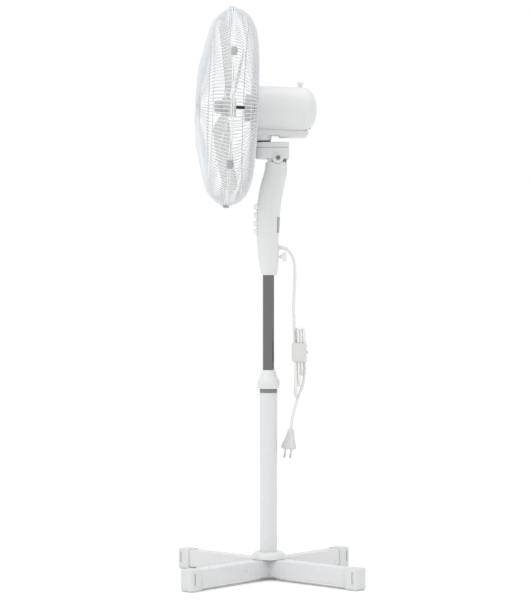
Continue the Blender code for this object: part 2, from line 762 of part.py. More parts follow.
def wire_basket(name, rings, parent):
    """A guard: rings and radial wires as one welded basket."""
    shape = bmesh.new()
    points = [shape.verts.new((radius, 0.0, forward)) for radius, forward in rings]
    chain = [shape.edges.new(pair) for pair in zip(points, points[1:])]
    bmesh.ops.spin(
        shape,
        geom=points + chain,
        cent=(0, 0, 0),
        axis=(0, 0, 1),
        angle=tau,
        steps=GUARD_RADIALS,
        use_merge=True,
    )
    bmesh.ops.remove_doubles(shape, verts=shape.verts, dist=0.00001)
    rim = [e for e in shape.edges if all(v.co.xy.length > rings[0][0] - 0.0001 for v in e.verts)]
    added = bmesh.ops.bisect_edges(shape, edges=rim, cuts=2)["geom_split"]
    for vertex in (item for item in added if isinstance(item, bmesh.types.BMVert)):
        flat = vertex.co.xy.normalized() * rings[0][0]
        vertex.co = (*flat, vertex.co.z)
    basket = from_bmesh(name, shape, GUARD_WIRE)
    wires = basket.modifiers.new("wires", "WIREFRAME")
    wires.thickness = WIRE
    wires.offset = 0.0
    wires.use_boundary = True
    wires.use_replace = True
    wires.use_even_offset = False
    wires.use_relative_offset = False
    return place_object(basket, turn=FORWARD, parent=parent)


def on_axis(made, parent, roll=0.0):
    """Puts a turned piece on the fan's axis."""
    return place_object(made, turn=(pi / 2, roll, 0.0), parent=parent)


def build_guard(head):
    """Both wire baskets, the nut that holds the rear one and the badge of the front one."""
    wire_basket("rear_guard", REAR_BASKET, head)
    wire_basket("front_guard", FRONT_BASKET, head)
    nut = [
        (0.0280, -0.0350),
        (0.0280, -0.0498),
        (0.0148, -0.0498),
        (0.0148, -0.0350),
    ]
    on_axis(turned("guard_nut", nut, GREY_PLASTIC, ring=True, steps=24), head)
    badge = [
        (0.0, 0.0722),
        (0.0330, 0.0722),
        (0.0395, 0.0706),
        (0.0395, 0.0705),
        (0.0365, 0.0702),
        (0.0365, 0.0610),
        (0.0, 0.0610),
    ]
    on_axis(turned("front_badge", badge, WHITE_PLASTIC), head)


def guard_clip(name, angle, head):
    """A clip that hinges on the front rim's wire and hooks behind the rear rim's wire."""
    outline = [
        (-0.0015, 0.0023),
        (-0.0015, 0.0038),
        (0.0042, 0.0038),
        (0.0042, -0.0077),
        (-0.0015, -0.0077),
        (-0.0015, -0.0061),
        (0.0023, -0.0061),
        (0.0023, 0.0023),
    ]
    radial = radians(angle)
    hinge = empty(name + "_hinge", (RIM_RADIUS * cos(radial), -RIM_HALF_GAP, RIM_RADIUS * sin(radial)))
    hinge.rotation_euler = (0, -radial, 0)
    hinge.parent = head
    clip = flat_piece(name, [(x, -y) for x, y in outline], 0.018, GREY_PLASTIC)
    place_object(clip, parent=hinge)
    return clip


def build_motor(head):
    """The motor's cover, front plate and stator, which stay still in the head."""
    inner = BARREL_RADIUS - BARREL_WALL
    dome_start = -0.158
    rise = dome_start - DOME_END
    angles = [radians(18 * k) for k in range(5)]
    outside = [(BARREL_RADIUS * cos(a), dome_start - rise * sin(a)) for a in angles]
    lining = [(inner * cos(a), dome_start - (rise - BARREL_WALL) * sin(a)) for a in angles]
    profile = [(0.0, DOME_END + BARREL_WALL), *lining[::-1], (inner, BARREL_FRONT)]
    profile += [(BARREL_RADIUS, BARREL_FRONT), *outside, (0.0, DOME_END)]
    cover = on_axis(turned("motor_cover", profile, WHITE_PLASTIC), head)
    opening = box("motor_cover_opening", (0.029, 0.090, 0.05), (0, 0.044, 0.965), WHITE_PLASTIC)
    knob_hole = cylinder("motor_cover_knob_hole", 0.0048, 0.06, (0, CRANK_Y, 1.045), WHITE_PLASTIC)
    cut(cover, opening, knob_hole)
    plate = [
        (0.0142, -0.0335),
        (0.0142, -0.0536),
        (inner + 0.0014, -0.0536),
        (inner + 0.0014, -0.0562),
        (inner - 0.0006, -0.0562),
        (inner - 0.0006, -0.0620),
        (0.0052, -0.0620),
        (0.0052, -0.0335),
    ]
    on_axis(turned("motor_front_plate", plate, DARK_STEEL, ring=True), head)
    stator = [(0.0425, -0.0700), (0.0425, -0.1100), (0.0250, -0.1100), (0.0250, -0.0700)]
    on_axis(turned("stator", stator, COPPER, ring=True), head)


def build_rotor(head):
    """The turning pieces: shaft, rotor core, blade and the nut that holds it."""
    shaft = [(0.0, 0.0260), (SHAFT_RADIUS, 0.0260), (SHAFT_RADIUS, -0.1490), (0.0, -0.1490)]
    on_axis(turned("motor_shaft", shaft, DARK_STEEL, steps=SMALL_ROUND), head)
    bore = SHAFT_RADIUS + GAP
    core = [(0.0242, -0.0720), (0.0242, -0.1080), (bore, -0.1080), (bore, -0.0720)]
    on_axis(turned("rotor_core", core, STEEL, ring=True, steps=24), head)
    spinner = [
        (0.0, 0.0310),
        (0.0100, 0.0300),
        (0.0140, 0.0260),
        (0.0140, 0.0153),
        (bore, 0.0153),
        (bore, 0.0263),
        (0.0, 0.0263),
    ]
    on_axis(turned("blade_nut", spinner, GREY_PLASTIC, steps=24), head)
    hub = [(0.0190, 0.0150), (0.0190, -0.0150), (bore, -0.0150), (bore, 0.0150)]
    fan = on_axis(turned("fan_blade", hub, BLADE_PLASTIC, ring=True, steps=24), head)
    for k in range(BLADE_COUNT):
        vane = blade_vane(f"blade_vane_{k + 1}")
        join(fan, on_axis(vane, head, tau * k / BLADE_COUNT - radians(90)))


def blade_vane(name):
    """One twisted vane, a thin sheet that is thickened, with its root inside the hub."""
    squares = 6
    root = 0.0165
    sweep = radians(26)  # how far the tip runs ahead of the root
    shape = bmesh.new()
    bmesh.ops.create_grid(shape, x_segments=squares, y_segments=squares, size=0.5)
    for vertex in shape.verts:
        out = vertex.co.x + 0.5  # 0 at the hub, 1 at the tip
        over = vertex.co.y  # -0.5 at the trailing edge, 0.5 at the leading edge
        radius = root + (BLADE_RADIUS - root) * out
        width = radians(88) * (0.42 + 0.58 * out**0.6)
        corner = 0.10 * max(0.0, out - 0.6) / 0.4 * (2 * over) ** 2
        angle = over * width + sweep * out
        pitch = radians(30 - 12 * out)
        lean = -radius * over * width * sin(pitch) * 0.56
        reach = radius * (1 - corner)
        vertex.co = (reach * cos(angle), reach * sin(angle), lean + 0.001)
    made = from_bmesh(name, shape, BLADE_PLASTIC)
    skin = made.modifiers.new("thickness", "SOLIDIFY")
    skin.thickness = 0.0016
    skin.offset = 0.0
    return made


def build_swing_drive(swing):
    """The gearbox, and the under cover whose boss turns on the swivel post."""
    boss_profile = [(0.0, 0.9490), (0.0185, 0.9490), (0.0185, 0.9477), (0.0150, 0.9373), (0.0, 0.9373)]
    boss = place_object(turned("under_cover_boss", boss_profile, WHITE_PLASTIC, steps=24), (0, SWIVEL_Y, 0))
    pan = box("motor_under_cover", (0.036, 0.1100, 0.030), (0, 0.0300, 0.9630), WHITE_PLASTIC, 0.004)
    bulge = box("under_cover_bulge", (0.035, 0.0600, 0.020), (0, 0.0520, 0.9545), WHITE_PLASTIC, 0.003)
    hollow = box("under_cover_hollow", (0.0316, 0.1056, 0.030), (0, 0.0300, 0.9652), WHITE_PLASTIC)
    bulge_hollow = box("under_cover_bulge_hollow", (0.0306, 0.0556, 0.020), (0, 0.0520, 0.9567), WHITE_PLASTIC)
    post_hole = cylinder("under_cover_post_hole", 0.0074, 0.03, (0, SWIVEL_Y, 0.944), WHITE_PLASTIC, sides=24)
    barrel = cylinder("under_cover_barrel", BARREL_RADIUS + 0.0004, 0.25, (0, 0, 0), WHITE_PLASTIC, sides=64)
    axis_middle = Vector(RIM_PLACE) + Vector((0, 0.115 * cos(HEAD_PITCH), 0.115 * sin(HEAD_PITCH)))
    place_object(barrel, axis_middle, (pi / 2 + HEAD_PITCH, 0, 0))
    join(pan, bulge, boss)
    cut(pan, hollow, bulge_hollow, post_hole, barrel)
    pan.parent = swing
    case_middle = (WORM_WHEEL_X - 0.0115, 0.0660)
    case = box("gearbox_case", (0.052, 0.0360, 0.0380), (*case_middle, 1.0010), GREY_PLASTIC)
    case_inside = box("gearbox_inside", (0.048, 0.0320, 0.0460), (*case_middle, 0.9950), GREY_PLASTIC)
    shaft_hole = cylinder("gearbox_shaft_hole", 0.0060, 0.03, (0, 0.0480, 1.0042), GREY_PLASTIC, "Y")
    crank_hole = cylinder("gearbox_crank_hole", 0.0038, 0.03, (0, CRANK_Y, 1.0180), GREY_PLASTIC)
    cut(case, case_inside, shaft_hole, crank_hole)
    case.parent = swing


def gear_disc(name, radius, low, high, others, parent, finish):
    """A gear drawn as its pitch disc, stacked on an axle of (radius, bottom, top) steps."""
    gear = cylinder(name, radius, high - low, (0, 0, (high + low) / 2), finish, sides=24)
    for k, (step_radius, bottom, top) in enumerate(others):
        middle = (bottom + top) / 2
        step = cylinder(f"{name}_step_{k}", step_radius, top - bottom, (0, 0, middle), finish)
        step.parent = parent
        join(gear, step)
    gear.parent = parent
    return gear


def build_gears(swing):
    """The worm wheel, the crank gear and the link of the oscillating drive."""
    worm_axis = empty("worm_axis", (WORM_WHEEL_X, WORM_WHEEL_Y, 0), parent=swing)
    gear_disc("worm_wheel", 0.0100, 1.0010, 1.0070, [(0.0040, 0.9840, 1.0050)], worm_axis, GREY_PLASTIC)
    crank_axis = empty("crank_axis", (0, CRANK_Y, 0), parent=swing)
    axle = (0.0030, 0.9550, 1.0350)
    disc = (0.0100, 0.9540, 0.9565)
    crank = gear_disc("crank_gear", 0.0120, 0.9850, 0.9910, [axle, disc], crank_axis, GREY_PLASTIC)
    pin = cylinder("crank_pin", 0.0020, 0.0045, (0, -CRANK_THROW, 0.9527), GREY_PLASTIC, sides=12)
    pin.parent = crank_axis
    join(crank, pin)
    link_axis = empty("link_axis", (0, CRANK_Y - CRANK_THROW, 0.9521), parent=swing)
    eye = 0.0046
    outline = arc((0, 0), eye, 0, 180, 8) + arc((0, -LINK_LENGTH), eye, 180, 360, 8)
    link = as_mesh(flat_piece("crank_link", outline, 0.0018, STEEL))
    link.parent = link_axis
    for k, y in enumerate((0.0, -LINK_LENGTH)):
        hole = cylinder(f"link_hole_{k + 1}", 0.0024, 0.01, (0, y, 0), STEEL, sides=12)
        hole.parent = link_axis
        cut(link, hole)


def oscillation_knob(parent):
    """The knob on top of the motor that is pushed down to make the head swing."""
    profile = [
        (0.0, 0.0060),
        (0.0055, 0.0060),
        (0.0070, 0.0045),
        (0.0070, 0.0),
        (0.0040, 0.0),
        (0.0040, -0.0140),
        (0.0, -0.0140),
    ]
    return place_object(turned("oscillation_knob", profile, WHITE_PLASTIC, steps=24), parent=parent)


# Assembly ---------------------------------------------------------------------------------


def main():
    """Builds every piece on its joint."""
    build_base()
    build_pole()
    height_collar(empty("collar_turn", (0, 0, COLLAR_BOTTOM)))
    column = empty("column", (0, 0, 0))
    build_tube(column)
    build_housing(column)
    build_switch(column)
    for name, z in BUTTON_Z.items():
        button(name, empty(name + "_slide", (0, BUTTON_TIP, z), parent=column))
    clamp_knob(empty("clamp_turn", (0, 0.0170, CLAMP_Z), parent=column))
    build_cord(column)
    tilt = empty("head_tilt", (0, BOLT_Y, BOLT_Z))
    build_bracket(tilt)
    swing = empty("head_swing", (0, 0, 0))
    head = empty("fan_axis", RIM_PLACE, (HEAD_PITCH, 0, 0), swing)
    build_guard(head)
    for k, angle in enumerate(CLIP_ANGLES):
        guard_clip(f"guard_clip_{k + 1}", angle, head)
    build_motor(head)
    build_rotor(head)
    build_swing_drive(swing)
    build_gears(swing)
    oscillation_knob(empty("knob_slide", (0, CRANK_Y, KNOB_BOTTOM), parent=swing))


main()
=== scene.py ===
"""Looks of a pedestal fan: cross base, telescopic column, tilting and oscillating caged head.

Metres, +Z up, the floor at Z = 0 and the pole's axis through the origin. The fan blows towards -Y.
"""

import logging
from collections.abc import Iterable, Sequence
from dataclasses import dataclass, field
from enum import Enum
from math import cos, pi, radians, sin, tau

import bmesh
import bpy
from bmesh.types import BMesh
from bpy.types import Material, Node, NodeSocket, NodeTree, Object
from mathutils import Matrix, Vector

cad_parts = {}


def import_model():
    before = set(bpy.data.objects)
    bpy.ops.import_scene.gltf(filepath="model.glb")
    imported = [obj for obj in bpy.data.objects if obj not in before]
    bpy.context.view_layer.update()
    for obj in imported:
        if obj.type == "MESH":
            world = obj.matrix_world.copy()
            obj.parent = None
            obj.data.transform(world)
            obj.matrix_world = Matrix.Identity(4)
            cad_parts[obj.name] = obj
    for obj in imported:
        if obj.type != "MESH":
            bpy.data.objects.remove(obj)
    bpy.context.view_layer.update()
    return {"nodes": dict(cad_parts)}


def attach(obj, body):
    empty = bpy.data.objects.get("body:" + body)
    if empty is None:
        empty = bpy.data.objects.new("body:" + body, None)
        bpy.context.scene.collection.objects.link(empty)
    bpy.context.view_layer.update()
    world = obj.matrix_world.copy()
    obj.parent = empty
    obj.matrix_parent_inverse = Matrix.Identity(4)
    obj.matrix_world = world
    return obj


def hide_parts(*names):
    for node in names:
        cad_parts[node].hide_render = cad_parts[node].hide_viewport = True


LOG = logging.getLogger("pedestal_fan")

Point = tuple[float, float, float]
Flat = tuple[float, float]
Profile = Sequence[Flat]
Section = tuple[float, float, float, float]


class Body(Enum):
    """The moving bodies that pieces ride on."""

    STAND = "stand"
    COLLAR = "collar"
    COLUMN = "column"
    CLAMP = "clamp"
    TILT = "tilt"
    HEAD = "head"
    KNOB = "knob"
    FAN = "fan"


class Axis(Enum):
    """The row axis that a round piece lies along, as the turn that takes Z there."""

    X = (pi / 2, "Y")
    Y = (-pi / 2, "X")
    Z = (0.0, "Z")

    def turn(self) -> Matrix:
        """The rotation that takes Z onto this axis."""
        angle, about = self.value
        return Matrix.Rotation(angle, 4, about)


# Finishes ---------------------------------------------------------------------------------


def linear(colour: str) -> tuple[float, float, float, float]:
    """Turns an sRGB hex colour into linear light.

    Args:
        colour: Six hex digits.

    Returns:
        Linear red, green and blue, with an alpha of one.
    """
    parts = [int(colour[k : k + 2], 16) / 255 for k in (0, 2, 4)]
    light = [p / 12.92 if p <= 0.04045 else ((p + 0.055) / 1.055) ** 2.4 for p in parts]
    return (light[0], light[1], light[2], 1.0)


def per_metre(size_mm: float) -> float:
    """A texture scale whose features are this many millimetres across."""
    return 1000.0 / size_mm


def add_node(tree: NodeTree, kind: str, inputs: dict | None = None, **settings: object) -> Node:
    """Adds a node with its settings and links.

    Args:
        tree: The tree that gets the node.
        kind: The node's type name.
        inputs: Socket name or number to a value, or to the socket that feeds it.
        settings: Properties of the node.

    Returns:
        The new node.
    """
    node = tree.nodes.new(kind)
    for key, value in settings.items():
        setattr(node, key, value)
    for socket, value in (inputs or {}).items():
        if isinstance(value, NodeSocket):
            tree.links.new(value, node.inputs[socket])
        else:
            node.inputs[socket].default_value = value
    return node


def noise(tree: NodeTree, place: NodeSocket, size_mm: float, detail: float) -> Node:
    """Adds a noise texture whose features are a given number of millimetres across."""
    inputs = {"Vector": place, "Scale": per_metre(size_mm), "Detail": detail}
    return add_node(tree, "ShaderNodeTexNoise", inputs)


def raise_normal(tree: NodeTree, shader: Node, height: NodeSocket, strength: float, relief_mm: float) -> None:
    """Feeds a height to the shader's normal through a bump.

    Args:
        tree: The tree of the material.
        shader: The shader that gets the normal.
        height: The height that is raised.
        strength: How strongly the bump shows.
        relief_mm: How high the relief is.
    """
    inputs = {"Height": height, "Strength": strength, "Distance": relief_mm / 1000}
    bump = add_node(tree, "ShaderNodeBump", inputs)
    tree.links.new(bump.outputs["Normal"], shader.inputs["Normal"])


@dataclass(frozen=True)
class Finish:
    """A finish with a surface grain, a slow drift of colour and an uneven gloss."""

    name: str
    slot: str
    colour: str
    roughness: float
    grain_mm: float
    relief_mm: float
    metallic: float = 0.0
    uneven: float = 0.05
    drift: float = 0.012
    drift_mm: float = 70.0
    patch_mm: float = 18.0
    coat: float = 0.0

    def build(self) -> Material:
        """Makes the node material.

        Returns:
            The material, with its grain, drift and gloss on Object coordinates.
        """
        made = bpy.data.materials.new(self.name)
        made.use_nodes = True
        tree = made.node_tree
        shader = tree.nodes["Principled BSDF"]
        place = add_node(tree, "ShaderNodeTexCoord").outputs["Object"]
        shader.inputs["Metallic"].default_value = self.metallic
        shader.inputs["Coat Weight"].default_value = self.coat
        shader.inputs["Coat Roughness"].default_value = 0.12
        self.colour_nodes(tree, shader, place)
        self.gloss_nodes(tree, shader, place)
        self.grain_nodes(tree, shader, place)
        self.set_shader(shader)
        return made

    def colour_nodes(self, tree: NodeTree, shader: Node, place: NodeSocket) -> None:
        """Lets the colour drift slowly to a slightly darker one."""
        cloud = noise(tree, place, self.drift_mm, 3.0)
        base = linear(self.colour)
        darker = tuple(c * (1 - 3 * self.drift) for c in base[:3]) + (1.0,)
        blend = add_node(
            tree,
            "ShaderNodeMix",
            {"Factor": cloud.outputs["Fac"], 6: base, 7: darker},
            data_type="RGBA",
        )
        tree.links.new(blend.outputs[2], shader.inputs["Base Color"])

    def gloss_nodes(self, tree: NodeTree, shader: Node, place: NodeSocket) -> None:
        """Varies the roughness in patches, as handling and cooling leave it."""
        patches = noise(tree, place, self.patch_mm, 2.0)
        spread = add_node(
            tree,
            "ShaderNodeMapRange",
            {
                "Value": patches.outputs["Fac"],
                "From Min": 0.3,
                "From Max": 0.7,
                "To Min": max(0.02, self.roughness - self.uneven),
                "To Max": self.roughness + self.uneven,
            },
        )
        tree.links.new(spread.outputs["Result"], shader.inputs["Roughness"])

    def grain_nodes(self, tree: NodeTree, shader: Node, place: NodeSocket) -> None:
        """Raises the fine grain of the surface."""
        grain = noise(tree, place, self.grain_mm, 2.0)
        raise_normal(tree, shader, grain.outputs["Fac"], 0.6, self.relief_mm)

    def set_shader(self, shader: Node) -> None:
        """Sets what only some finishes have."""


@dataclass(frozen=True)
class MouldedPlastic(Finish):
    """Injection-moulded ABS: soft highlights over a faint spark-eroded mould texture."""

    subsurface: float = 0.08

    def set_shader(self, shader: Node) -> None:
        """Lets a little light in, as white ABS does."""
        shader.inputs["IOR"].default_value = 1.53
        shader.inputs["Subsurface Weight"].default_value = self.subsurface
        shader.inputs["Subsurface Radius"].default_value = (0.0016, 0.0014, 0.0012)
        shader.inputs["Subsurface Scale"].default_value = 1.0


@dataclass(frozen=True)
class PowderCoat(Finish):
    """Polyester powder baked on steel: even colour with a low orange peel and a clean gloss."""

    def set_shader(self, shader: Node) -> None:
        """Gives the paint film its own gloss."""
        shader.inputs["IOR"].default_value = 1.5


@dataclass(frozen=True)
class ClearBlade(Finish):
    """Clear AS resin with a milky green tint: thin vanes that let light through."""

    def set_shader(self, shader: Node) -> None:
        """Lets light through the vane."""
        shader.inputs["IOR"].default_value = 1.57
        shader.inputs["Transmission Weight"].default_value = 0.22
        shader.inputs["Subsurface Weight"].default_value = 0.25
        shader.inputs["Subsurface Radius"].default_value = (0.004, 0.0045, 0.004)
        shader.inputs["Subsurface Scale"].default_value = 1.0


@dataclass(frozen=True)
class Vinyl(Finish):
    """Extruded PVC sheath: soft, matt, faintly wavy from being drawn over its cores."""

    def set_shader(self, shader: Node) -> None:
        """Adds the pale sheen that soft vinyl has at its edge."""
        shader.inputs["IOR"].default_value = 1.52
        shader.inputs["Sheen Weight"].default_value = 0.12
        shader.inputs["Sheen Roughness"].default_value = 0.4
        shader.inputs["Subsurface Weight"].default_value = 0.10
        shader.inputs["Subsurface Radius"].default_value = (0.002, 0.002, 0.0018)
        shader.inputs["Subsurface Scale"].default_value = 1.0


@dataclass(frozen=True)
class DrawnMetal(Finish):
    """Drawn or plated metal: fine lines run round or along the piece and stretch its highlights."""

    line_mm: float = 0.7
    across: Point = (1.0, 1.0, 0.03)

    def grain_nodes(self, tree: NodeTree, shader: Node, place: NodeSocket) -> None:
        """Raises fine drawing lines, drawn as wide as they need to be to show."""
        stretched = add_node(tree, "ShaderNodeMapping", {"Vector": place, "Scale": self.across})
        lines = noise(tree, stretched.outputs["Vector"], self.line_mm, 3.0)
        raise_normal(tree, shader, lines.outputs["Fac"], 0.5, self.relief_mm)


@dataclass(frozen=True)
class WoundCopper(Finish):
    """Lacquered magnet wire: a comb of turns a wire's width apart."""

    wire_mm: float = 0.9

    def grain_nodes(self, tree: NodeTree, shader: Node, place: NodeSocket) -> None:
        """Raises the turns of wire."""
        turns = add_node(
            tree,
            "ShaderNodeTexWave",
            {"Vector": place, "Scale": per_metre(self.wire_mm) / 20, "Distortion": 1.5, "Detail": 2.0},
            bands_direction="Y",
        )
        raise_normal(tree, shader, turns.outputs["Fac"], 0.8, self.relief_mm)


@dataclass(frozen=True)
class Palette:
    """Every finish on the fan."""

    shell: Finish = MouldedPlastic("white_abs_shell", "white_plastic", "D6D8D8", 0.36, 0.8, 0.010)
    motor_shell: Finish = MouldedPlastic("white_abs_motor_cover", "white_plastic", "D7D9D9", 0.34, 0.8, 0.010)
    keys: Finish = MouldedPlastic("white_abs_push_button", "white_plastic", "E4E6E6", 0.30, 0.6, 0.006)
    cap: Finish = MouldedPlastic("white_polypropylene_cap", "white_plastic", "D0D2D2", 0.42, 0.9, 0.014)
    bars: Finish = PowderCoat(
        "white_powder_coated_tube", "white_coated_steel", "D1D3D4", 0.30, 1.6, 0.006, coat=0.25
    )
    wire: Finish = PowderCoat("white_powder_coated_wire", "guard_wire", "DADDE0", 0.32, 1.4, 0.010, coat=0.2)
    blade: Finish = ClearBlade("milky_as_resin", "clear_blade", "E0E4DF", 0.20, 1.5, 0.004, uneven=0.04)
    # Painted reflection: the chrome's base colour is darkened to 77777A in place of the dark surroundings
    # that bright chrome would mirror.
    chrome: Finish = DrawnMetal("chrome_plate_painted_dark_reflection", "dark_chrome", "77777A", 0.14, 1.0, 0.0015, metallic=1.0)
    steel: Finish = DrawnMetal("bright_zinc_steel", "bright_steel", "B4B5B7", 0.30, 1.0, 0.004, metallic=1.0)
    black: Finish = DrawnMetal("black_oxide_steel", "dark_steel", "3B3B3C", 0.42, 1.0, 0.006, metallic=1.0)
    grey: Finish = MouldedPlastic(
        "grey_polypropylene", "grey_plastic", "A0A3A5", 0.46, 0.8, 0.016, subsurface=0.02
    )
    dark_grey: Finish = MouldedPlastic(
        "dark_grey_nylon", "grey_plastic", "77797B", 0.48, 0.8, 0.016, subsurface=0.0
    )
    sheath: Finish = Vinyl("white_pvc_sheath", "cord_vinyl", "DCDCDA", 0.48, 2.4, 0.020)
    plug: Finish = Vinyl("white_pvc_plug", "white_plastic", "CFCFCD", 0.40, 1.2, 0.020)
    plate: Finish = DrawnMetal(
        "brushed_aluminium_plate", "grey_plastic", "A6A8AB", 0.38, 1.0, 0.004, 0.6, across=(0.03, 1.0, 1.0)
    )
    copper: Finish = WoundCopper(
        "lacquered_copper_winding", "copper", "B8693E", 0.35, 1.0, 0.30, metallic=1.0
    )
    brass: Finish = DrawnMetal("turned_brass", "brass", "C9A862", 0.26, 1.0, 0.003, metallic=1.0)


# Shapes -----------------------------------------------------------------------------------


def settled(shape: BMesh, merge: float = 0.00001) -> BMesh:
    """Merges doubles and turns every face outwards.

    Args:
        shape: The shape to settle.
        merge: How close two points are to count as one.

    Returns:
        The same shape.
    """
    bmesh.ops.remove_doubles(shape, verts=shape.verts, dist=merge)
    bmesh.ops.recalc_face_normals(shape, faces=shape.faces)
    return shape


def rounded(shape: BMesh, edges: Iterable, radius: float, segments: int, clamp: bool = True) -> None:
    """Rounds edges of a shape, held back where two roundings would meet if clamped."""
    bmesh.ops.bevel(
        shape,
        geom=list(edges),
        offset=radius,
        segments=segments,
        affect="EDGES",
        profile=0.5,
        material=-1,
        clamp_overlap=clamp,
    )


def level_edges(shape: BMesh) -> list:
    """The edges of a shape that lie level."""
    return [e for e in shape.edges if abs(e.verts[0].co.z - e.verts[1].co.z) < 1e-6]


def moved(shape: BMesh, matrix: Matrix) -> BMesh:
    """Transforms a whole shape in place and returns it."""
    bmesh.ops.transform(shape, matrix=matrix, verts=shape.verts)
    return shape


def together(first: BMesh, *others: BMesh) -> BMesh:
    """Adds other shapes to the first, and frees them.

    Args:
        first: The shape that grows.
        others: The shapes that it takes in.

    Returns:
        The first shape.
    """
    for other in others:
        carrier = bpy.data.meshes.new("carrier")
        other.to_mesh(carrier)
        other.free()
        first.from_mesh(carrier)
        bpy.data.meshes.remove(carrier)
    return first


def turned(profile: Profile, steps: int = 96, ring: bool = False) -> BMesh:
    """Turns a profile about Z.

    Args:
        profile: Radius and height of each point down the outer side.
        steps: Sides of the turned piece.
        ring: Whether the profile closes on itself.

    Returns:
        A closed turned shape.
    """
    shape = bmesh.new()
    points = [shape.verts.new((radius, 0.0, height)) for radius, height in profile]
    chain = [shape.edges.new(pair) for pair in zip(points, points[1:])]
    if ring:
        chain.append(shape.edges.new((points[-1], points[0])))
    bmesh.ops.spin(
        shape, geom=points + chain, cent=(0, 0, 0), axis=(0, 0, 1), angle=tau, steps=steps, use_merge=True
    )
    return settled(shape)


def block(size: Point, centre: Point, radius: float = 0.0, segments: int = 3) -> BMesh:
    """A box with rounded edges.

    Args:
        size: Its three sides.
        centre: Its middle.
        radius: The rounding of its edges.
        segments: Facets across each rounding.

    Returns:
        The closed box.
    """
    shape = bmesh.new()
    place = Matrix.Translation(centre) @ Matrix.Diagonal((*size, 1.0))
    bmesh.ops.create_cube(shape, size=1.0, matrix=place)
    if radius:
        rounded(shape, shape.edges, radius, segments)
    return settled(shape)


def rod(
    radius: float,
    length: float,
    centre: Point,
    axis: Axis = Axis.Z,
    sides: int = 48,
    edge: float = 0.0,
    top: float | None = None,
) -> BMesh:
    """A round bar or cone with rounded ends.

    Args:
        radius: Its radius, at its low end.
        length: Its length.
        centre: Its middle.
        axis: The row axis it lies along.
        sides: Sides of the circle.
        edge: The rounding of its two end edges.
        top: Its radius at the high end, where that differs.

    Returns:
        The closed bar.
    """
    shape = bmesh.new()
    bmesh.ops.create_cone(
        shape,
        cap_ends=True,
        segments=sides,
        radius1=radius,
        radius2=radius if top is None else top,
        depth=length,
    )
    if edge:
        rounded(shape, level_edges(shape), edge, 2)
    return moved(settled(shape), Matrix.Translation(centre) @ axis.turn())


def slab(outline: Profile, thickness: float, edge: float = 0.0, segments: int = 2) -> BMesh:
    """A flat outline in the XY plane, extruded evenly to both sides.

    Args:
        outline: The corners of the outline.
        thickness: How thick the slab is.
        edge: The rounding of its two outer edges.
        segments: Facets across the rounding.

    Returns:
        The closed slab.
    """
    shape = bmesh.new()
    corners = [shape.verts.new((x, y, -thickness / 2)) for x, y in outline]
    floor = bmesh.ops.contextual_create(shape, geom=corners)["faces"]
    raised = bmesh.ops.extrude_face_region(shape, geom=floor)["geom"]
    upper = [item for item in raised if isinstance(item, bmesh.types.BMVert)]
    bmesh.ops.translate(shape, vec=(0, 0, thickness), verts=upper)
    settled(shape)
    if edge:
        rounded(shape, level_edges(shape), edge, segments, clamp=False)
    return settled(shape)


def carved(shape: BMesh, *tools: BMesh) -> BMesh:
    """Cuts tools out of a shape and frees them all.

    Args:
        shape: The solid that is cut.
        tools: The solids that are taken out of it.

    Returns:
        The cut shape.
    """
    carriers = []
    for number, solid in enumerate((shape, *tools)):
        mesh = bpy.data.meshes.new(f"carving_{number}")
        solid.to_mesh(mesh)
        solid.free()
        carriers.append(bpy.data.objects.new(mesh.name, mesh))
        bpy.context.scene.collection.objects.link(carriers[-1])
    for tool in carriers[1:]:
        step = carriers[0].modifiers.new(tool.name, "BOOLEAN")
        step.operation = "DIFFERENCE"
        step.solver = "EXACT"
        step.object = tool
    bpy.context.view_layer.update()
    cut = carriers[0].evaluated_get(bpy.context.evaluated_depsgraph_get()).to_mesh()
    result = bmesh.new()
    result.from_mesh(cut)
    carriers[0].to_mesh_clear()
    for carrier in carriers:
        mesh = carrier.data
        bpy.data.objects.remove(carrier, do_unlink=True)
        bpy.data.meshes.remove(mesh)
    return result


def spline_spans(marks: Sequence[Vector]) -> list[tuple[Vector, Vector, Vector, Vector]]:
    """Each span between two marks, with its neighbours before and after."""
    ends = [2 * marks[0] - marks[1], *marks, 2 * marks[-1] - marks[-2]]
    return list(zip(ends, ends[1:], ends[2:], ends[3:]))


def spline_point(span: tuple[Vector, Vector, Vector, Vector], t: float) -> Vector:
    """The Catmull-Rom point a share of the way along a span."""
    before, first, second, after = span
    cubic = 3 * first - before - 3 * second + after
    square = 2 * before - 5 * first + 4 * second - after
    return 0.5 * (2 * first + (second - before) * t + square * t**2 + cubic * t**3)


def smooth_route(knots: Sequence[Point], step: float) -> list[Vector]:
    """Points about a step apart on a Catmull-Rom curve through the knots.

    Args:
        knots: The points that the curve passes.
        step: How far apart its points are, at most.

    Returns:
        The points of the curve.
    """
    marks = [Vector(knot) for knot in knots]
    route = [marks[0]]
    for span in spline_spans(marks):
        count = max(1, round((span[2] - span[1]).length / step))
        route += [spline_point(span, k / count) for k in range(1, count + 1)]
    return route


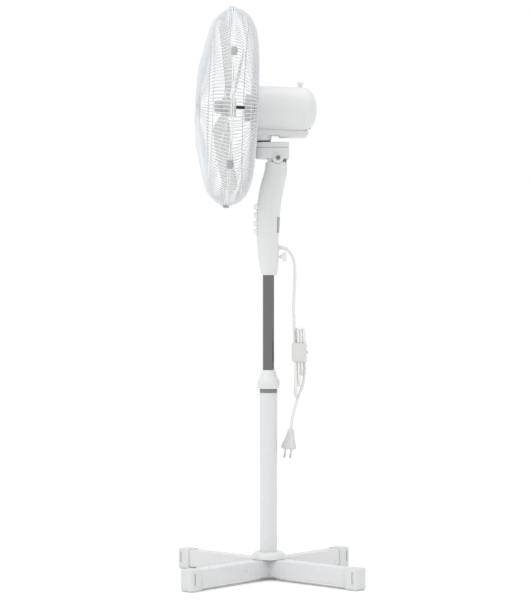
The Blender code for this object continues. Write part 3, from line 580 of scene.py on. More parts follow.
def swept(route: Sequence[Vector], radius: float, sides: int = 6) -> BMesh:
    """A round wire along a route, extruded from one end to the other.

    Args:
        route: The points of its centre line.
        radius: The wire's radius.
        sides: Sides of its section.

    Returns:
        The closed wire.
    """
    shape = bmesh.new()
    heading = (route[1] - route[0]).normalized()
    swing = Vector((0, 0, 1)).rotation_difference(heading).to_matrix().to_4x4()
    start = Matrix.Translation(route[0]) @ swing
    bmesh.ops.create_circle(shape, cap_ends=True, segments=sides, radius=radius, matrix=start)
    shape.faces.ensure_lookup_table()
    cap = shape.faces[0]
    for k in range(1, len(route)):
        following = route[min(k + 1, len(route) - 1)] - route[k - 1 if k == len(route) - 1 else k]
        ahead = (following.normalized() + heading).normalized()
        grown = bmesh.ops.extrude_face_region(shape, geom=[cap])["geom"]
        cap = next(item for item in grown if isinstance(item, bmesh.types.BMFace))
        ring = list(cap.verts)
        bmesh.ops.translate(shape, vec=route[k] - route[k - 1], verts=ring)
        swing = heading.rotation_difference(ahead).to_matrix()
        bmesh.ops.rotate(shape, cent=route[k], matrix=swing, verts=ring)
        heading = ahead
    return settled(shape, 0.000001)


def hoop(radius: float, height: float, wire: float, steps: int = 144, sides: int = 8) -> BMesh:
    """A ring of round wire about Z.

    Args:
        radius: From the axis to the wire's centre.
        height: Where the ring lies along Z.
        wire: The wire's radius.
        steps: Sides round the ring.
        sides: Sides of its section.

    Returns:
        The closed ring.
    """
    shape = bmesh.new()
    place = Matrix.Translation((radius, 0, height)) @ Matrix.Rotation(pi / 2, 4, "X")
    bmesh.ops.create_circle(shape, cap_ends=False, segments=sides, radius=wire, matrix=place)
    geometry = list(shape.verts) + list(shape.edges)
    bmesh.ops.spin(
        shape, geom=geometry, cent=(0, 0, 0), axis=(0, 0, 1), angle=tau, steps=steps, use_merge=True
    )
    return settled(shape, 0.000001)


def repeated(shape: BMesh, count: int, offset: float = 0.0) -> BMesh:
    """Repeats a shape evenly round Z.

    Args:
        shape: One of the repeated shapes.
        count: How many there are.
        offset: The angle of the first.

    Returns:
        All of them in one shape.
    """
    bmesh.ops.rotate(shape, cent=(0, 0, 0), matrix=Matrix.Rotation(offset, 3, "Z"), verts=shape.verts)
    geometry = list(shape.verts) + list(shape.edges) + list(shape.faces)
    bmesh.ops.spin(
        shape,
        geom=geometry,
        cent=(0, 0, 0),
        axis=(0, 0, 1),
        angle=tau * (count - 1) / count,
        steps=count - 1,
        use_duplicate=True,
    )
    bmesh.ops.recalc_face_normals(shape, faces=shape.faces)
    return shape


def arc(centre: Flat, radius: float, start: float, end: float, count: int) -> list[Flat]:
    """Points of an arc in a plane, from one angle to another, in degrees."""
    angles = [radians(start + (end - start) * k / count) for k in range(count + 1)]
    return [(centre[0] + radius * cos(a), centre[1] + radius * sin(a)) for a in angles]


# Bench ------------------------------------------------------------------------------------


@dataclass
class Bench:
    """Finishes pieces and puts them on their bodies."""

    nodes: dict[str, Object]
    palette: Palette = field(default_factory=Palette)
    made: dict[str, Material] = field(default_factory=dict)

    def material(self, finish: Finish) -> Material:
        """The material of a finish, made once."""
        if finish.name not in self.made:
            self.made[finish.name] = finish.build()
        return self.made[finish.name]

    def piece(
        self,
        name: str,
        shape: BMesh,
        finish: Finish,
        body: Body | str,
        stands_for: Iterable[str] = (),
        crease: float = 35.0,
    ) -> Object:
        """Makes a shape an object of the fan.

        Args:
            name: The piece's name.
            shape: Its shape, in its place.
            finish: What it is made of.
            body: The body it rides on.
            stands_for: The plain solids it is shown in place of.
            crease: The angle, in degrees, past which an edge stays sharp.

        Returns:
            The finished object.
        """
        mesh = bpy.data.meshes.new(name)
        shape.to_mesh(mesh)
        shape.free()
        mesh.shade_smooth()
        mesh.set_sharp_from_angle(angle=radians(crease))
        made = bpy.data.objects.new(name, mesh)
        bpy.context.scene.collection.objects.link(made)
        self.settle(made, finish, body, stands_for)
        LOG.info("%s: %d faces", name, len(mesh.polygons))
        return made

    def settle(self, made: Object, finish: Finish, body: Body | str, stands_for: Iterable[str]) -> None:
        """Gives an object its finish, its body and the solids it stands for."""
        made.data.materials.append(self.material(finish))
        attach(made, body.value if isinstance(body, Body) else body)
        for node in stands_for:
            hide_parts(node)

    def dress(self, finish: Finish, *names: str) -> None:
        """Gives plain solids that stay in view a finish.

        Args:
            finish: What they are made of.
            names: The solids.
        """
        for name in names:
            solid = self.nodes[name]
            if not solid.material_slots:
                solid.data.materials.append(None)
            for place in solid.material_slots:
                place.material = self.material(finish)
            LOG.info("%s dressed in %s", name, finish.name)


# Studio -----------------------------------------------------------------------------------


@dataclass
class Studio:
    """The camera, the pale floor and soft lights."""

    camera_place: Point = (4.092, -0.250, 0.600)
    camera_azimuth: float = 86.5
    focal_mm: float = 114.9
    shift: tuple[float, float] = (-0.0052, -0.0025)
    floor_size: float = 400.0
    sky: float = 1.0

    def set_camera(self) -> None:
        """Makes the camera and gives it to the scene."""
        data = bpy.data.cameras.new("camera")
        data.lens = self.focal_mm
        data.sensor_width = 36.0
        data.shift_x, data.shift_y = self.shift
        data.clip_end = 1000.0
        camera = bpy.data.objects.new("camera", data)
        camera.location = self.camera_place
        camera.rotation_euler = (pi / 2, 0.0, radians(self.camera_azimuth))
        bpy.context.scene.collection.objects.link(camera)
        bpy.context.scene.camera = camera

    def lay_floor(self) -> None:
        """Lays a plain pale floor."""
        shape = bmesh.new()
        bmesh.ops.create_grid(shape, x_segments=1, y_segments=1, size=self.floor_size)
        mesh = bpy.data.meshes.new("studio_floor")
        shape.to_mesh(mesh)
        shape.free()
        floor = bpy.data.objects.new("studio_floor", mesh)
        bpy.context.scene.collection.objects.link(floor)
        paint = bpy.data.materials.new("matt_floor_paint")
        paint.use_nodes = True
        shader = paint.node_tree.nodes["Principled BSDF"]
        shader.inputs["Base Color"].default_value = linear("FFFFFF")
        shader.inputs["Roughness"].default_value = 0.95
        shader.inputs["Specular IOR Level"].default_value = 0.0
        floor.data.materials.append(paint)

    def softbox(self, name: str, place: Point, aim: Point, size: float, power: float) -> None:
        """Hangs one soft area light.

        Args:
            name: The light's name.
            place: Where it hangs.
            aim: What it points at.
            size: The side of its square panel.
            power: Its power in watts.
        """
        data = bpy.data.lights.new(name, "AREA")
        data.size = size
        data.energy = power
        light = bpy.data.objects.new(name, data)
        light.location = place
        light.rotation_euler = (Vector(aim) - Vector(place)).to_track_quat("-Z", "Y").to_euler()
        bpy.context.scene.collection.objects.link(light)

    def light(self) -> None:
        """Lights the room evenly, with a softer side away from the key."""
        world = bpy.data.worlds.new("studio_room")
        world.use_nodes = True
        sky = world.node_tree.nodes["Background"]
        sky.inputs["Color"].default_value = linear("FFFFFF")
        sky.inputs["Strength"].default_value = self.sky
        bpy.context.scene.world = world
        self.softbox("key_softbox", (1.6, -1.8, 3.0), (0.0, 0.0, 0.6), 1.6, 26.0)
        self.softbox("top_softbox", (0.0, 0.6, 3.4), (0.0, 0.0, 0.5), 2.0, 14.0)

    def build(self) -> None:
        """Sets the camera, the floor and the lights."""
        self.set_camera()
        self.lay_floor()
        self.light()
        bpy.context.scene.view_settings.view_transform = "Standard"


# Lead -------------------------------------------------------------------------------------


@dataclass
class Lead:
    """The mains lead: a hanging stretch, a folded and tied hank, and the plug."""

    radius: float = 0.003
    exit_place: Point = (0.0, 0.0240, 0.7090)
    fold_radius: float = 0.0186
    tie_height: float = 0.485
    tie_size: float = 0.040
    pinch: float = 0.0050
    pinch_reach: float = 0.028
    plug_place: Point = (0.0, 0.0488, 0.3199)
    plug_turn: float = 38.0
    plug_lean: float = -11.0
    fold_points: int = 14
    run_step: float = 0.005

    upper: Sequence[Point] = (
        (0.0, 0.0240, 0.7090),
        (0.0, 0.0325, 0.7083),
        (0.0, 0.0390, 0.7055),
        (0.0, 0.0452, 0.6998),
        (0.0, 0.0505, 0.6915),
        (0.0, 0.0543, 0.6815),
        (0.0, 0.0560, 0.6700),
        (0.0, 0.0566, 0.6550),
        (0.0, 0.0560, 0.6300),
        (0.0, 0.0548, 0.6050),
        (0.0, 0.0540, 0.5800),
        (0.0, 0.0546, 0.5620),
        (0.0, 0.0550, 0.5480),
        (0.0006, 0.0553, 0.5340),
        (0.0040, 0.0557, 0.5150),
        (0.0092, 0.0560, 0.5000),
        (0.0132, 0.0562, 0.4860),
    )
    lower: Sequence[Point] = (
        (0.0075, 0.0765, 0.4600),
        (0.0030, 0.0775, 0.4470),
        (0.0006, 0.0768, 0.4350),
        (0.0, 0.0752, 0.4230),
        (0.0, 0.0722, 0.4110),
        (0.0, 0.0676, 0.3990),
        (0.0, 0.0632, 0.3870),
        (0.0, 0.0590, 0.3740),
        (0.0, 0.0560, 0.3640),
        (0.0, 0.0528, 0.3510),
        (0.0, 0.0504, 0.3390),
        (0.0, 0.0491, 0.3280),
        (0.0, 0.0488, 0.3206),
    )
    rows: Sequence[float] = (0.0562, 0.0627, 0.0690, 0.0752)
    tops: Sequence[float] = (0.5352, 0.5330, 0.5345)
    bottoms: Sequence[float] = (0.3905, 0.4140, 0.4370)

    def side(self, height: float) -> float:
        """How far a run lies from the middle at a height, drawn in where the tie holds it."""
        away = min(1.0, abs(height - self.tie_height) / self.pinch_reach)
        return self.fold_radius - self.pinch * (1 + cos(pi * away)) / 2

    def run(self, begin: float, end: float) -> list[float]:
        """Evenly spaced heights between two ends of a straight run."""
        count = max(2, round(abs(end - begin) / self.run_step))
        return [begin + (end - begin) * k / count for k in range(1, count)]

    def turn(self, begin: float, low: float, high: float) -> list[Flat]:
        """One turn seen from the side: down, round the foot, up and over the top.

        Args:
            begin: The height it starts from.
            low: The height of the lower fold's centre.
            high: The height of the upper fold's centre.

        Returns:
            How far across and how high each point lies.
        """
        loop = [(self.side(z), z) for z in self.run(begin, low)]
        loop += arc((0.0, low), self.fold_radius, 0, -180, self.fold_points)
        loop += [(-self.side(z), z) for z in self.run(low, high)]
        return loop + arc((0.0, high), self.fold_radius, 180, 0, self.fold_points)

    def hank(self) -> list[Point]:
        """The knots of the folded turns, each moving evenly from its row to the next."""
        knots: list[Point] = []
        begin = self.tie_height
        for turn, (foot, top) in enumerate(zip(self.bottoms, self.tops)):
            loop = self.turn(begin, foot + self.fold_radius, top - self.fold_radius)
            pitch = self.rows[turn + 1] - self.rows[turn]
            for k, (x, z) in enumerate(loop):
                knots.append((x, self.rows[turn] + pitch * (k + 1) / len(loop), z))
            begin = top - self.fold_radius
        return knots + [(self.side(z), self.rows[-1], z) for z in self.run(begin, self.tie_height)]

    def route(self) -> list[Vector]:
        """The whole centre line of the lead."""
        return smooth_route([*self.upper, *self.hank(), *self.lower], 0.006)

    def build(self, bench: Bench) -> None:
        """Makes the lead, its tie, its strain reliefs and its plug.

        Args:
            bench: Finishes the pieces.
        """
        finish = bench.palette.sheath
        route = self.route()
        curve = bpy.data.curves.new("mains_lead", "CURVE")
        curve.dimensions = "3D"
        curve.bevel_depth = self.radius
        curve.bevel_resolution = 4
        curve.use_fill_caps = True
        spline = curve.splines.new("POLY")
        spline.points.add(len(route) - 1)
        for point, place in zip(spline.points, route):
            point.co = (*place, 1.0)
        spline.use_smooth = True
        lead = bpy.data.objects.new("mains_lead", curve)
        bpy.context.scene.collection.objects.link(lead)
        bench.settle(lead, finish, Body.COLUMN, ("cord_upper", "cord_hank", "cord_lower"))
        self.build_tie(bench)
        relief = self.build_relief(bench)
        plug = self.build_plug(bench)

    def build_tie(self, bench: Bench) -> Object:
        """Makes the strap that holds the hank."""
        half_x = self.side(self.tie_height + self.tie_size / 2) + self.radius + 0.0004
        front = self.rows[0] - self.radius - 0.0006
        rear = self.rows[-1] + self.radius + 0.0010
        size = (2 * half_x + 0.0024, rear - front + 0.0024, self.tie_size)
        centre = (0.0, (front + rear) / 2, self.tie_height)
        strap = block(size, centre, 0.0020, 3)
        inside = block((2 * half_x, rear - front, 2 * self.tie_size), centre)
        twist = block((0.0120, 0.0040, 0.0050), (0.004, rear + 0.0030, self.tie_height), 0.0015, 2)
        tie = together(carved(strap, inside), twist)
        return bench.piece("hank_tie", tie, bench.palette.plug, Body.COLUMN, ("cord_tie",))

    def build_relief(self, bench: Bench) -> Object:
        """Makes the tapered strain relief where the lead leaves the column."""
        route = smooth_route(self.upper[:5], 0.002)
        shape = swept(route[:12], self.radius + 0.0013, 20)
        start = Vector(self.exit_place)
        reach = (route[11] - start).length
        for vertex in shape.verts:
            along = min(1.0, max(0.0, (vertex.co - start).length / reach))
            nearest = min(route[:12], key=lambda mark: (mark - vertex.co).length)
            vertex.co = nearest + (vertex.co - nearest) * (1.0 - 0.24 * along)
        return bench.piece("lead_strain_relief", shape, bench.palette.sheath, Body.COLUMN)

    def plug_frame(self) -> Matrix:
        """Where the plug hangs, turned about the lead."""
        lean = Matrix.Rotation(radians(self.plug_lean), 4, "X")
        turn = Matrix.Rotation(radians(self.plug_turn), 4, "Z")
        return Matrix.Translation(self.plug_place) @ turn @ lean

    def build_plug(self, bench: Bench) -> list[Object]:
        """Makes the flat plug with its grip, its collar and its two sleeved pins.

        Args:
            bench: Finishes the pieces.

        Returns:
            The plug's body and pins.
        """
        half = [(0.0046, 0.0), (0.0052, -0.0050), (0.0068, -0.0110), (0.0098, -0.0195), (0.0150, -0.0300)]
        half += [(0.0172, -0.0340), (0.0176, -0.0385), (0.0168, -0.0420), (0.0150, -0.0430)]
        outline = half + [(-x, z) for x, z in reversed(half)]
        body = moved(slab(outline, 0.0137, 0.0028, 4), Matrix.Rotation(pi / 2, 4, "X"))
        for height in (-0.0095, -0.0135, -0.0175):
            width = 0.0110 - 0.55 * (height + 0.0175)
            body = together(body, block((width, 0.0148, 0.0018), (0.0, 0.0, height), 0.0007, 2))
        place = self.plug_frame()
        plastic = bench.palette.plug
        pieces = [bench.piece("plug_grip", moved(body, place), plastic, Body.COLUMN, ("plug_body",))]
        for side, node in ((-1, "plug_pin_left"), (1, "plug_pin_right")):
            x = side * 0.0093
            sleeve = rod(0.0021, 0.0100, (x, 0, -0.0480), sides=24)
            pieces.append(bench.piece(f"{node}_sleeve", moved(sleeve, place), plastic, Body.COLUMN))
            tip = rod(0.0020, 0.0190, (x, 0, -0.0528), sides=24, edge=0.0008)
            steel = bench.palette.steel
            pieces.append(bench.piece(f"{node}_blade", moved(tip, place), steel, Body.COLUMN, (node,)))
        return pieces


# Stand ------------------------------------------------------------------------------------


@dataclass
class Stand:
    """The crossed bars, their caps, the hub cover, the pole and its collar."""

    bar_half: float = 0.2375
    bar_width: float = 0.029
    bar_low: float = 0.007
    bar_high: float = 0.044
    cap_end: float = 0.2548
    cap_length: float = 0.034
    cap_width: float = 0.0334
    cap_high: float = 0.0459
    lip_step: float = 0.0010
    pole_radius: float = 0.019
    pole_top: float = 0.3985

    def build(self, bench: Bench) -> None:
        """Makes the whole stand.

        Args:
            bench: Finishes the pieces.
        """
        self.build_bars(bench)
        self.build_caps(bench)
        self.build_hub(bench)
        self.build_pole(bench)
        self.build_collar(bench)
        bench.dress(bench.palette.black, "pole_flange")
        bench.dress(bench.palette.steel, "base_screw_1", "base_screw_2")

    def build_bars(self, bench: Bench) -> None:
        """Makes the two rectangular tubes with the soft corners of rolled steel."""
        for name, turn, inset in (("base_bar_lower", 45, 0.0), ("base_bar_upper", -45, 0.0001)):
            low = self.bar_low + inset
            high = self.bar_high - inset
            size = (2 * self.bar_half, self.bar_width, high - low)
            bar = block(size, (0.0, 0.0, (low + high) / 2), 0.0022, 4)
            moved(bar, Matrix.Rotation(radians(turn), 4, "Z"))
            bench.piece(f"{name}_tube", bar, bench.palette.bars, Body.STAND, (name,))

    def build_caps(self, bench: Bench) -> None:
        """Makes the four end caps, each a foot with a moulded slot in its sides and a soft pad below."""
        centre_x = self.cap_end - self.cap_length / 2
        slot_place = (self.cap_end - 0.0105, 0, 0.0262)
        for k in range(4):
            size = (self.cap_length, self.cap_width - self.lip_step, self.cap_high - 0.002)
            cap = block(size, (centre_x, 0, 0.00095 + self.cap_high / 2), 0.0034, 4)
            slot = block((0.0062, self.cap_width + 0.02, 0.0240), slot_place, 0.0012, 2)
            cap = carved(cap, slot)
            inner_wall = block((0.0100, self.cap_width - 0.0060, 0.0280), slot_place, 0.001, 1)
            pad_size = (self.cap_length - 0.006, self.cap_width - 0.006, 0.003)
            pad = block(pad_size, (centre_x, 0, 0.0015), 0.001, 2)
            lip_x = self.cap_end - self.cap_length + 0.0016
            lip = block((0.0022, self.cap_width, self.cap_high - 0.0060), (lip_x, 0, 0.0250), 0.0009, 2)
            whole = together(cap, inner_wall, pad, lip)
            moved(whole, Matrix.Rotation(radians(45 + 90 * k), 4, "Z"))
            node = f"foot_cap_{k + 1}"
            bench.piece(f"{node}_shell", whole, bench.palette.cap, Body.STAND, (node,))

    def build_hub(self, bench: Bench) -> None:
        """Makes the round cover over the crossing of the bars."""
        profile = [
            (0.0193, 0.0580),
            (0.0193, 0.0596),
            (0.0197, 0.0600),
            (0.0205, 0.0600),
            (0.0252, 0.0594),
            (0.0300, 0.0583),
            (0.0338, 0.0562),
            (0.0362, 0.0530),
            (0.0374, 0.0492),
            (0.0380, 0.0446),
            (0.0362, 0.0446),
            (0.0345, 0.0515),
            (0.0290, 0.0566),
        ]
        bench.piece("hub_dome", turned(profile, ring=True), bench.palette.shell, Body.STAND, ("hub_cover",))

    def build_pole(self, bench: Bench) -> None:
        """Makes the outer pole, with its small locking dimple, and the sleeve in its mouth."""
        radius = self.pole_radius
        bore = radius - 0.0012
        profile = [(radius - 0.0004, self.pole_top), (radius, self.pole_top - 0.0004), (radius, 0.0490)]
        profile += [(bore, 0.0490), (bore, self.pole_top)]
        pole = turned(profile, ring=True)
        dimple = rod(0.0016, 0.0040, (0.0, 0.0, 0.0), Axis.X, 24, 0.0005)
        outward = Matrix.Translation((radius - 0.0014, 0.0, 0.3840))
        moved(dimple, Matrix.Rotation(radians(38), 4, "Z") @ outward)
        bench.piece("pole_shaft", together(pole, dimple), bench.palette.bars, Body.STAND, ("pole",))
        sleeve = [
            (0.0150, 0.4400),
            (0.0160, 0.4200),
            (0.0160, 0.4062),
            (0.0184, 0.4062),
            (0.0188, 0.4058),
            (0.0188, 0.3992),
            (0.0184, 0.3988),
            (0.0175, 0.3988),
            (0.0175, 0.3600),
            (0.0126, 0.3600),
            (0.0126, 0.4400),
        ]
        mouth = turned(sleeve, ring=True)
        bench.piece("pole_mouth_sleeve", mouth, bench.palette.dark_grey, Body.STAND, ("pole_top_sleeve",))

    def build_collar(self, bench: Bench) -> None:
        """Makes the turning collar with its grip ribs."""
        profile = [
            (0.0140, 0.4470),
            (0.0152, 0.4450),
            (0.0168, 0.4372),
            (0.0182, 0.4335),
            (0.0206, 0.4290),
            (0.0226, 0.4250),
            (0.0232, 0.4228),
            (0.0232, 0.4120),
            (0.0226, 0.4090),
            (0.0204, 0.4068),
            (0.0164, 0.4068),
            (0.0164, 0.4205),
            (0.0153, 0.4402),
            (0.0126, 0.4405),
            (0.0126, 0.4470),
        ]
        collar = turned(profile, 96, ring=True)
        rib = block((0.0016, 0.0030, 0.0130), (0.0230, 0.0, 0.4174), 0.0007, 3)
        collar = together(collar, repeated(rib, 18))
        bench.piece("grip_collar", collar, bench.palette.shell, Body.COLLAR, ("height_collar",), 50.0)


# Column -----------------------------------------------------------------------------------


@dataclass
class Column:
    """The sliding tube and the control housing on it."""

    sections: Sequence[Section] = (
        (0.6500, -0.0146, 0.0180, 0.0165),
        (0.6590, -0.0170, 0.0195, 0.0195),
        (0.6800, -0.0210, 0.0215, 0.0235),
        (0.7100, -0.0240, 0.0218, 0.0270),
        (0.7450, -0.0257, 0.0220, 0.0295),
        (0.7850, -0.0252, 0.0248, 0.0300),
        (0.8150, -0.0222, 0.0290, 0.0275),
        (0.8450, -0.0165, 0.0350, 0.0240),
        (0.8680, -0.0095, 0.0395, 0.0215),
        (0.8915, -0.0058, 0.0385, 0.0205),
    )
    refine: int = 4
    squareness: float = 2.7
    wall: float = 0.0024
    seam: float = 0.004
    buttons: dict[str, float] = field(
        default_factory=lambda: {
            "button_off": 0.7955,
            "button_low": 0.7780,
            "button_mid": 0.7605,
            "button_high": 0.7430,
        }
    )
    button_size: Point = (0.030, 0.020, 0.0118)
    button_tip: float = -0.0325
    bolt_y: float = 0.019
    bolt_z: float = 0.900
    exit_z: float = 0.709
    clamp_z: float = 0.689
    lobe_room: float = 0.0131
    plate_low: float = 0.7405
    plate_high: float = 0.7735
    plate_front: float = 0.0182

    def fine_sections(self) -> list[Section]:
        """The sections with more of them read from a smooth curve between them."""
        fine = [self.sections[0]]
        for span in spline_spans([Vector(section) for section in self.sections]):
            fine += [tuple(spline_point(span, k / self.refine)) for k in range(1, self.refine + 1)]
        return fine

    def form(self, inset: float = 0.0, sides: int = 96) -> BMesh:
        """The housing's lofted form, bridged from ring to ring.

        Args:
            inset: How far inside the outer surface it lies.
            sides: Points of each ring.

        Returns:
            The closed form.
        """
        shape = bmesh.new()
        power = 2 / self.squareness
        rings = []
        for z, front, rear, half in self.fine_sections():
            middle = (front + rear) / 2
            depth = (rear - front) / 2 - inset
            ring = bmesh.ops.create_circle(shape, cap_ends=False, segments=sides, radius=1.0)["verts"]
            for vertex in ring:
                across, along = vertex.co.x, vertex.co.y
                x = abs(across) ** power * (half - inset) * (1 if across > 0 else -1)
                y = abs(along) ** power * depth * (1 if along > 0 else -1)
                vertex.co = (x, middle + y, z)
            rings.append(ring)
        loops = [list({e for v in ring for e in v.link_edges}) for ring in rings]
        for lower, upper in zip(loops, loops[1:]):
            bmesh.ops.bridge_loops(shape, edges=lower + upper)
        for ring in (rings[0], rings[-1]):
            bmesh.ops.contextual_create(shape, geom=ring)
        return settled(shape)

    def half(self, front: bool) -> BMesh:
        """One of the two shells, with its wall and its open foot.

        Args:
            front: Whether it is the shell with the buttons.

        Returns:
            The closed shell.
        """
        hollow = self.form(self.wall)
        bmesh.ops.translate(hollow, vec=(0, 0, -0.0035), verts=hollow.verts)
        side = 1 if front else -1
        other = block((0.12, 0.12, 0.40), (0, self.seam + side * (0.06 - 0.00003), 0.78))
        return carved(self.form(), hollow, other)

    def build(self, bench: Bench) -> None:
        """Makes the tube, the shells, the buttons and what is inside.

        Args:
            bench: Finishes the pieces.
        """
        self.build_tube(bench)
        self.build_front(bench)
        self.build_rear(bench)
        self.build_buttons(bench)
        self.build_details(bench)
        bench.dress(bench.palette.dark_grey, "speed_switch", "tube_socket", "tube_guide")

    def build_tube(self, bench: Bench) -> None:
        """Makes the plated tube that slides in the pole; its darkened chrome colour is a painted dark
        reflection.
        """
        profile = [(0.0123, 0.7090), (0.0123, 0.3455), (0.0119, 0.3450), (0.0113, 0.3450), (0.0113, 0.7090)]
        tube = turned(profile, ring=True)
        bench.piece("sliding_tube", tube, bench.palette.chrome, Body.COLUMN, ("inner_tube",))

    def rooms(self) -> list[BMesh]:
        """What both shells leave free: the tube and the saddle's cheeks."""
        bolt = (0, self.bolt_y, self.bolt_z)
        return [rod(0.0126, 0.08, (0, 0, 0.67)), rod(self.lobe_room, 0.08, bolt, Axis.X)]

    def build_front(self, bench: Bench) -> None:
        """Makes the front shell with a window for each button."""
        x, _, z = self.button_size
        size = (x + 0.0014, 0.03, z + 0.0014)
        windows = [block(size, (0, -0.026, height), 0.0038, 3) for height in self.buttons.values()]
        neck_seat = rod(0.0216, 0.0322, (0, self.bolt_y, self.bolt_z), Axis.X)
        shell = carved(self.half(front=True), *self.rooms(), neck_seat, *windows)
        white = bench.palette.shell
        bench.piece("column_front_shell", shell, white, Body.COLUMN, ("column_front_cover",), 40.0)

    def build_rear(self, bench: Bench) -> None:
        """Makes the rear shell with the neck that the saddle tilts on."""
        exit_hole = rod(0.0052, 0.03, (0, 0.022, self.exit_z), Axis.Y, 32)
        clamp_hole = rod(0.0034, 0.03, (0, 0.022, self.clamp_z), Axis.Y, 32)
        shell = carved(self.half(front=False), *self.rooms(), exit_hole, clamp_hole)
        neck = block((0.031, 0.033, 0.030), (0, 0.022, 0.885), 0.0015, 2)
        head = rod(0.021, 0.031, (0, self.bolt_y, self.bolt_z), Axis.X, 72, 0.0010)
        whole = together(shell, neck, head)
        white = bench.palette.shell
        bench.piece("column_rear_shell", whole, white, Body.COLUMN, ("column_rear_cover",), 40.0)

    def build_buttons(self, bench: Bench) -> None:
        """Makes the four push buttons, each crowned and softly rounded."""
        length = self.button_size[1]
        for node, height in self.buttons.items():
            key = block(self.button_size, (0, self.button_tip + length / 2, height), 0.0034, 5)
            for vertex in key.verts:
                if vertex.co.y < self.button_tip + 0.004:
                    vertex.co.y += 0.0009 * (vertex.co.x / (self.button_size[0] / 2)) ** 2
            bench.piece(f"{node}_key", key, bench.palette.keys, f"{node.split('_')[1]}_button", (node,))

    def build_details(self, bench: Bench) -> None:
        """Makes the plate, the grommet and the clamp knob."""
        band = carved(self.form(-0.0010), self.form(-0.0003))
        middles = (self.plate_high + 0.15, self.plate_low - 0.15)
        outside = [block((0.2, 0.2, 0.3), (0, 0, middle)) for middle in middles]
        front_cut = block((0.2, 0.1, 0.5), (0, self.plate_front - 0.05, 0.755))
        plate = carved(band, *outside, front_cut)
        bench.piece("data_plate", plate, bench.palette.plate, Body.COLUMN, ("rating_plate",))
        grommet = [
            (0.0046, 0.0015),
            (0.0060, 0.0015),
            (0.0064, 0.0011),
            (0.0064, 0.0),
            (0.0048, 0.0),
            (0.0048, -0.0045),
            (0.0033, -0.0045),
            (0.0033, 0.0011),
        ]
        place = Matrix.Translation((0, 0.0222, self.exit_z)) @ Matrix.Rotation(-pi / 2, 4, "X")
        ring = moved(turned(grommet, 40, ring=True), place)
        bench.piece("lead_grommet", ring, bench.palette.keys, Body.COLUMN, ("cord_grommet",))
        shank = rod(0.0027, 0.0190, (0, 0.0265, self.clamp_z), Axis.Y, 24)
        root = rod(0.0050, 0.0070, (0, 0.0290, self.clamp_z), Axis.Y, 32, 0.0008)
        wing = block((0.0066, 0.0085, 0.0200), (0, 0.0350, self.clamp_z), 0.0030, 4)
        screw = together(shank, root, wing)
        bench.piece("clamp_wing", screw, bench.palette.keys, Body.CLAMP, ("clamp_knob",))


# Saddle -----------------------------------------------------------------------------------


@dataclass
class Saddle:
    """The tilting bracket on the neck, its cap and bolt, and the swivel post."""

    bolt_y: float = 0.019
    bolt_z: float = 0.900
    half_width: float = 0.022
    inside: float = 0.016
    nose: float = -0.010

    def plan(self) -> list[Flat]:
        """The bracket's outline from above, about the bolt."""
        w = self.half_width
        outline = arc((0.0, self.nose - self.bolt_y), 0.0176, 180, 360, 24)
        outline += [(w, 0.0), (w, 0.0200), (0.0213, 0.0228), (0.0190, 0.0240)]
        outline += [(-0.0190, 0.0240), (-0.0213, 0.0228), (-w, 0.0200), (-w, 0.0)]
        return outline

    def build(self, bench: Bench) -> None:
        """Makes the bracket, its cap, the bolt and the post.

        Args:
            bench: Finishes the pieces.
        """
        place = Matrix.Translation((0, self.bolt_y, self.bolt_z))
        deck = moved(slab(self.plan(), 0.0237, 0.0010), Matrix.Translation((0, 0, 0.01035)))
        socket = rod(0.0218, 2 * self.inside, (0, 0, 0), Axis.X, 72)
        relief = block((2 * self.inside + 0.0006, 0.0240, 0.03), (0, -0.0058, -0.0145))
        body = carved(deck, socket, relief)
        for side in (-1, 1):
            lobe = rod(0.0125, 0.0068, (side * 0.0194, 0, 0), Axis.X, 64, 0.0010)
            boss = rod(0.0085, 0.0012, (side * 0.0228, 0, 0), Axis.X, 40, 0.0004)
            body = together(body, lobe, boss)
        bench.piece("saddle", moved(body, place), bench.palette.shell, Body.TILT, ("tilt_bracket",), 40.0)
        cap = moved(slab(self.plan(), 0.0113, 0.0018, 3), Matrix.Translation((0, 0, 0.02835)))
        bench.piece("saddle_cap", moved(cap, place), bench.palette.shell, Body.TILT, ("bracket_cap",), 40.0)
        head = rod(0.0050, 0.0030, (0.0249, 0, 0), Axis.X, 40, 0.0009)
        cross = [block((0.003, *slot), (0.0264, 0, 0)) for slot in ((0.0070, 0.0012), (0.0012, 0.0070))]
        bolt = together(carved(head, *cross), rod(0.0040, 0.0480, (-0.0005, 0, 0), Axis.X, 24))
        bench.piece("tilt_screw", moved(bolt, place), bench.palette.dark_grey, Body.TILT, ("tilt_bolt",))
        nut = rod(0.0068, 0.0036, (-0.0249, 0, 0), Axis.X, 6, 0.0004)
        bench.piece("tilt_hex_nut", moved(nut, place), bench.palette.steel, Body.TILT, ("tilt_nut",))
        post = [
            (0.0, 0.9522),
            (0.0106, 0.9522),
            (0.0110, 0.9518),
            (0.0110, 0.9506),
            (0.0070, 0.9506),
            (0.0070, 0.9378),
            (0.0076, 0.9370),
            (0.0146, 0.9370),
            (0.0150, 0.9366),
            (0.0150, 0.9343),
            (0.0, 0.9343),
        ]
        pivot = moved(turned(post, 64), Matrix.Translation((0, self.nose, 0)))
        bench.piece("swivel_pivot", pivot, bench.palette.black, Body.TILT, ("swivel_post",))


# Head -------------------------------------------------------------------------------------


